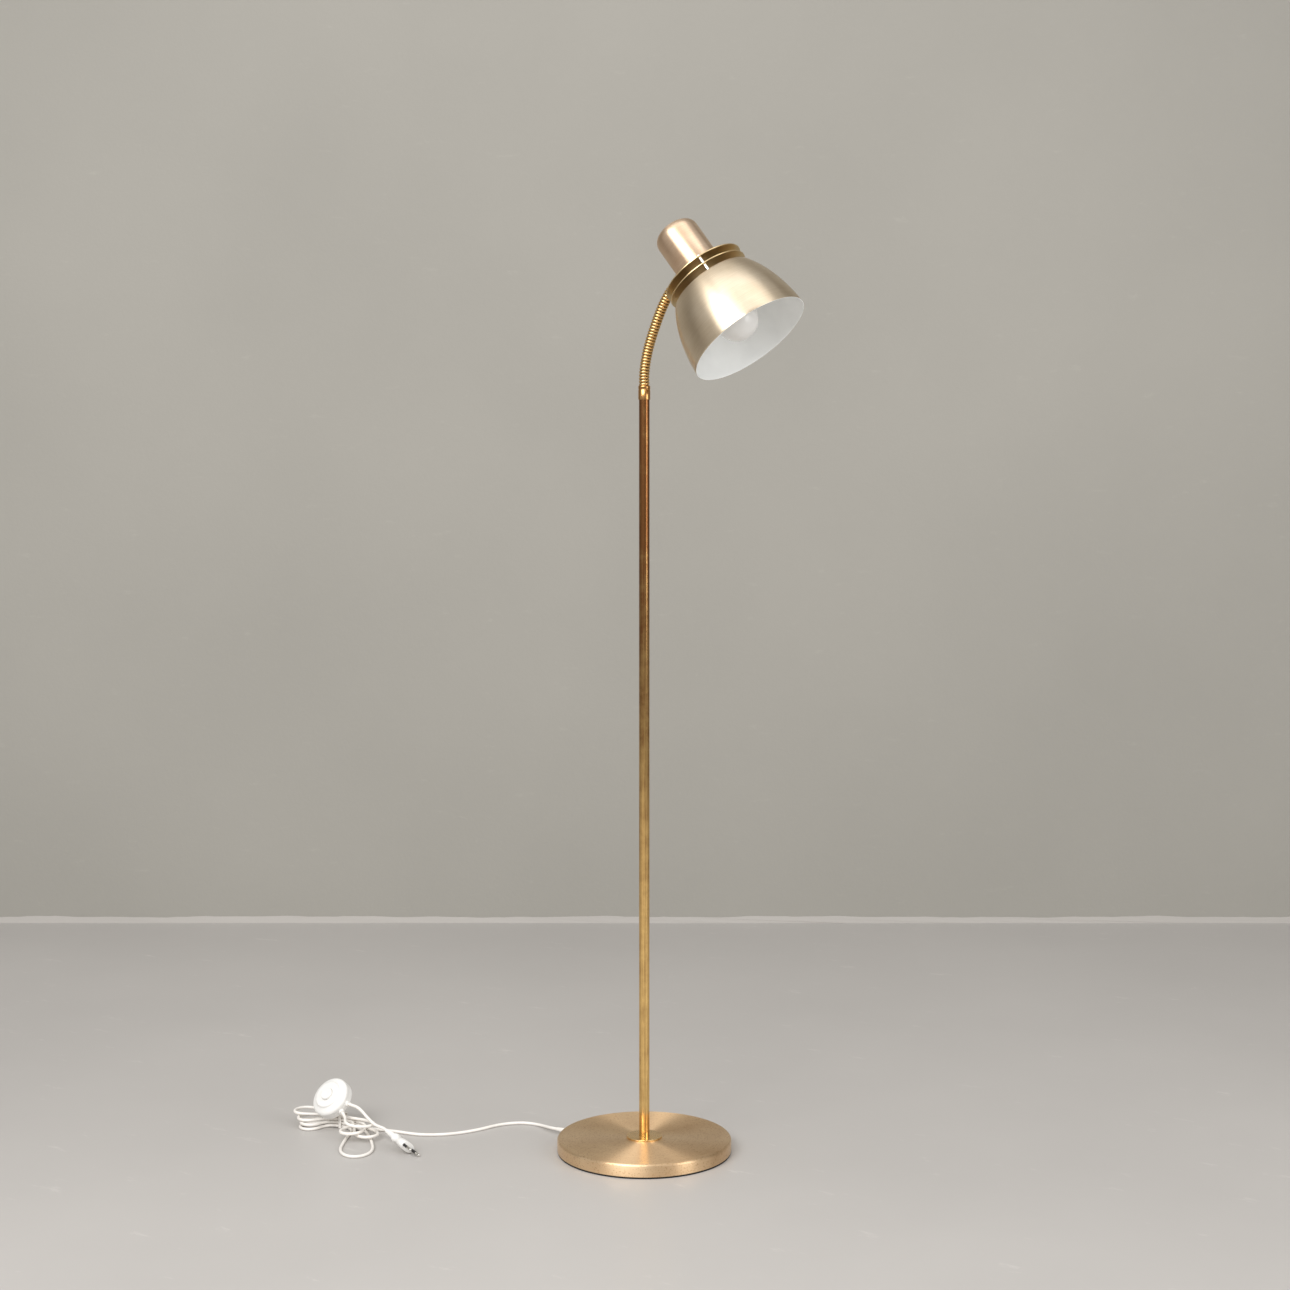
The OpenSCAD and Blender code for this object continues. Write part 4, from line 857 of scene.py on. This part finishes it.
def makeBulb():
    z, r = -head["bulbDepth"], head["bulbRadius"]
    line = [(bulb["neckRadius"], head["bulbNeck"]), (bulb["neckRadius"] + 0.6, -43),
            (16.2, -51), (19.3, -62.3)]
    line += [(r * math.cos(math.radians(a)), z + r * math.sin(math.radians(a)))
             for a in range(42, -90, -6)] + [(0, z - r)]
    globe = spunPiece("bulbGlobe", line, "head", [bulbWhite], ["bulb_globe"],
                      headPlace, {}, False, 96, 80)
    addWall(globe, bulb["glass"])
    print("bulb made")


makeBulb()


# Foot switch, tie and plug

switchWhite = plasticFinish("switchWhite", (236, 234, 230), 0.3, 0.98)
plugWhite = plasticFinish("plugWhite", (242, 240, 236), 0.34, 0.98)


def makeSwitch():  # outlines of the domed cover with its three steps, and of the button in it
    r, low, high = switch["width"] / 2, switch["baseHeight"], switch["coverHeight"]
    button = switch["buttonWidth"] / 2
    top = low + high
    line = [(r - 2, low + 0.15), (r, low + 0.15), (r, low + 0.34 * high),
            (r - 1.8, low + 0.56 * high), (r - 9, low + 0.78 * high), (r - 10, top),
            (button + 0.9, top), (button + 0.15, top - 0.8), (button + 0.15, top - 4),
            (r - 14, top - 2.6), (r - 10.5, top - 4.6), (r - 3.6, low + 0.4 * high),
            (r - 2, low + 0.2 * high)]
    spunPiece("switchCover", line, "stand", [switchWhite], ["switch_cover"],
              switchPlace, {1: 0.4, 2: 1.2, 3: 1.6, 4: 1.1, 5: 1.3, 6: 0.45}, True, 128, 50)
    rise = top + switch["travel"] + 0.8
    line = [(0, rise - 0.35), (button * 0.6, rise - 0.3), (button - 0.9, rise),
            (button, rise - 1.2), (button, low + 6.5), (button + 1.4, low + 6.5),
            (button + 1.4, low + 5), (button - 2.5, low + 5), (button - 2.5, rise - 4),
            (0, rise - 4)]
    spunPiece("switchButton", line, "button", [switchWhite], ["switch_button"],
              switchPlace, {2: 0.8, 3: 0.6}, False, 96, 50)


tie = {"width": 5, "slack": 0.3, "corner": 1.8, "thickness": 0.8, "edge": 0.25}


def makeTie():  # a band round the middle of the hank
    bm = bmesh.new()
    strand = cord["width"] / 2
    low = cord["low"] - strand - tie["slack"]
    high = cord["low"] + 3 * cord["layer"] + strand + tie["slack"]
    left = -cord["gap"] - strand - tie["slack"]
    right = cord["gap"] + cord["entryGap"] + strand + tie["slack"]
    outline(bm, [(left, low), (right, low), (right, high), (left, high)],
            {corner: tie["corner"] for corner in range(4)})
    made = bmesh.ops.extrude_edge_only(bm, edges=bm.edges[:])["geom"]
    sides = [g for g in made if isinstance(g, bmesh.types.BMVert)]
    bmesh.ops.translate(bm, vec=(0, tie["width"] * mm, 0), verts=sides)
    bmesh.ops.translate(bm, vec=(0, -tie["width"] / 2 * mm, 0), verts=bm.verts)
    bmesh.ops.recalc_face_normals(bm, faces=bm.faces)
    place = placed((*cord["hankAt"], 0), 0, 0, 90 + cord["hankTurn"])
    band = finishPiece("cordTie", bm, "stand", [cordWhite], ["cord_tie"], place)
    wall = band.modifiers.new("wall", "SOLIDIFY")
    wall.thickness, wall.offset = tie["thickness"] * mm, 1
    soft = band.modifiers.new("soft", "BEVEL")
    soft.width, soft.segments = tie["edge"] * mm, 2
    return band


def makePlug():
    # rings along the plug (distance behind its face, half width, half thickness), then those
    # of the round tail with its grooves, which grows thinner towards the cord
    stations = [(0, 11.4, 5.4), (0.5, 12.5, 6.3), (1.6, 13, 6.85), (7, 13, 6.85), (11, 12.6, 6.8),
                (15, 11.3, 6.5), (19, 9.3, 5.9), (22.5, 7.7, 5.3), (25.5, 7.2, 5.1), (28, 7.6, 5.4),
                (30.5, 8.8, 6.2), (32, 9.4, 6.6), (33.2, 9.3, 6.5), (33.9, 8.5, 5.9),
                (34.1, 6.8, 5.2)]
    relief = [(34.2, 4.5)]
    for i in range(plug["grooves"]):
        z = plug["length"] + 1 + i * plug["groovePitch"]
        r = plug["tailRadius"] - i * plug["narrowing"]
        relief += [(z, r), (z + 2.2, r - 0.12), (z + 2.5, r - 0.75), (z + 3.1, r - 0.8)]
    stations += [(z, r, r) for z, r in relief] + [(60, 3.0, 3.0), (60.4, 2.6, 2.6)]
    bm = bmesh.new()
    ring = bmesh.ops.create_circle(bm, cap_ends=False, segments=40, radius=1)["verts"]
    edges = bm.edges[:]
    rings = []
    for number, (back, wide, thick) in enumerate(stations):
        if number:
            made = bmesh.ops.extrude_edge_only(bm, edges=edges)["geom"]
            ring = [g for g in made if isinstance(g, bmesh.types.BMVert)]
            edges = [g for g in made if isinstance(g, bmesh.types.BMEdge)
                     and all(v in ring for v in g.verts)]
        rings.append((ring, back, wide, thick))
    turns = {}
    for ring, back, wide, thick in rings:
        for vert in ring:
            a = math.atan2(vert.co.y, vert.co.x) if vert not in turns else turns[vert]
            blend = 0.78 if wide > thick * 1.05 else 1
            c, s = math.cos(a), math.sin(a)
            turns[vert] = a
            vert.co = Vector((-back, wide * math.copysign(abs(c) ** blend, c),
                              thick * math.copysign(abs(s) ** (1 if blend == 1 else 0.9), s))) * mm
    bmesh.ops.holes_fill(bm, edges=[e for e in bm.edges if e.is_boundary], sides=0)
    bmesh.ops.recalc_face_normals(bm, faces=bm.faces)
    return finishPiece("plugBody", bm, "stand", [plugWhite], ["plug_body"],
                       plugPlace, 35)


makeSwitch()
cordTie = makeTie()
plugBody = makePlug()
print("switch, tie and plug made")


# Finishes of the CAD nodes that stay

castIron = plasticFinish("castIron", (84, 83, 82), 0.7, 0.75, 250, 0.5)
zinc = drawnMetal("zinc", (206, 205, 202), (140, 138, 134), 0.3, streak=(300, 300, 300))
porcelain = plasticFinish("porcelain", (233, 231, 224), 0.3, 0.97)
contactBrass = drawnMetal("contactBrass", (240, 208, 130), (200, 160, 90), 0.25,
                          streak=(300, 300, 300))
sleeveBlack = plasticFinish("sleeveBlack", (44, 42, 42), 0.45, 0.85)
slotFinishes = {
    "iron": castIron, "steel": zinc, "porcelain": porcelain, "contact_brass": contactBrass,
    "sleeve": sleeveBlack, "white_plastic": switchWhite, "cord_white": cordWhite,
    "base_brass": warmBrass, "stem_brass": agedBrass, "neck_brass": neckBrass,
    "head_brass": shadeBrass, "ring_brass": ringBrass, "floor_pad": padBlack,
    "bulb_glass": bulbWhite,
}
slotOf = {row["node"]: row["material_slot"] for row in frame["record"]["subparts"]}
ownFinish = {"ring_spacers": nickel, "head_nuts": nickel, "bulb_cap": nickel, "plug_pins": nickel}
for name, node in frame["nodes"].items():
    node.data.materials.clear()
    node.data.materials.append(ownFinish.get(name, slotFinishes[slotOf[name]]))

print("finishes given")
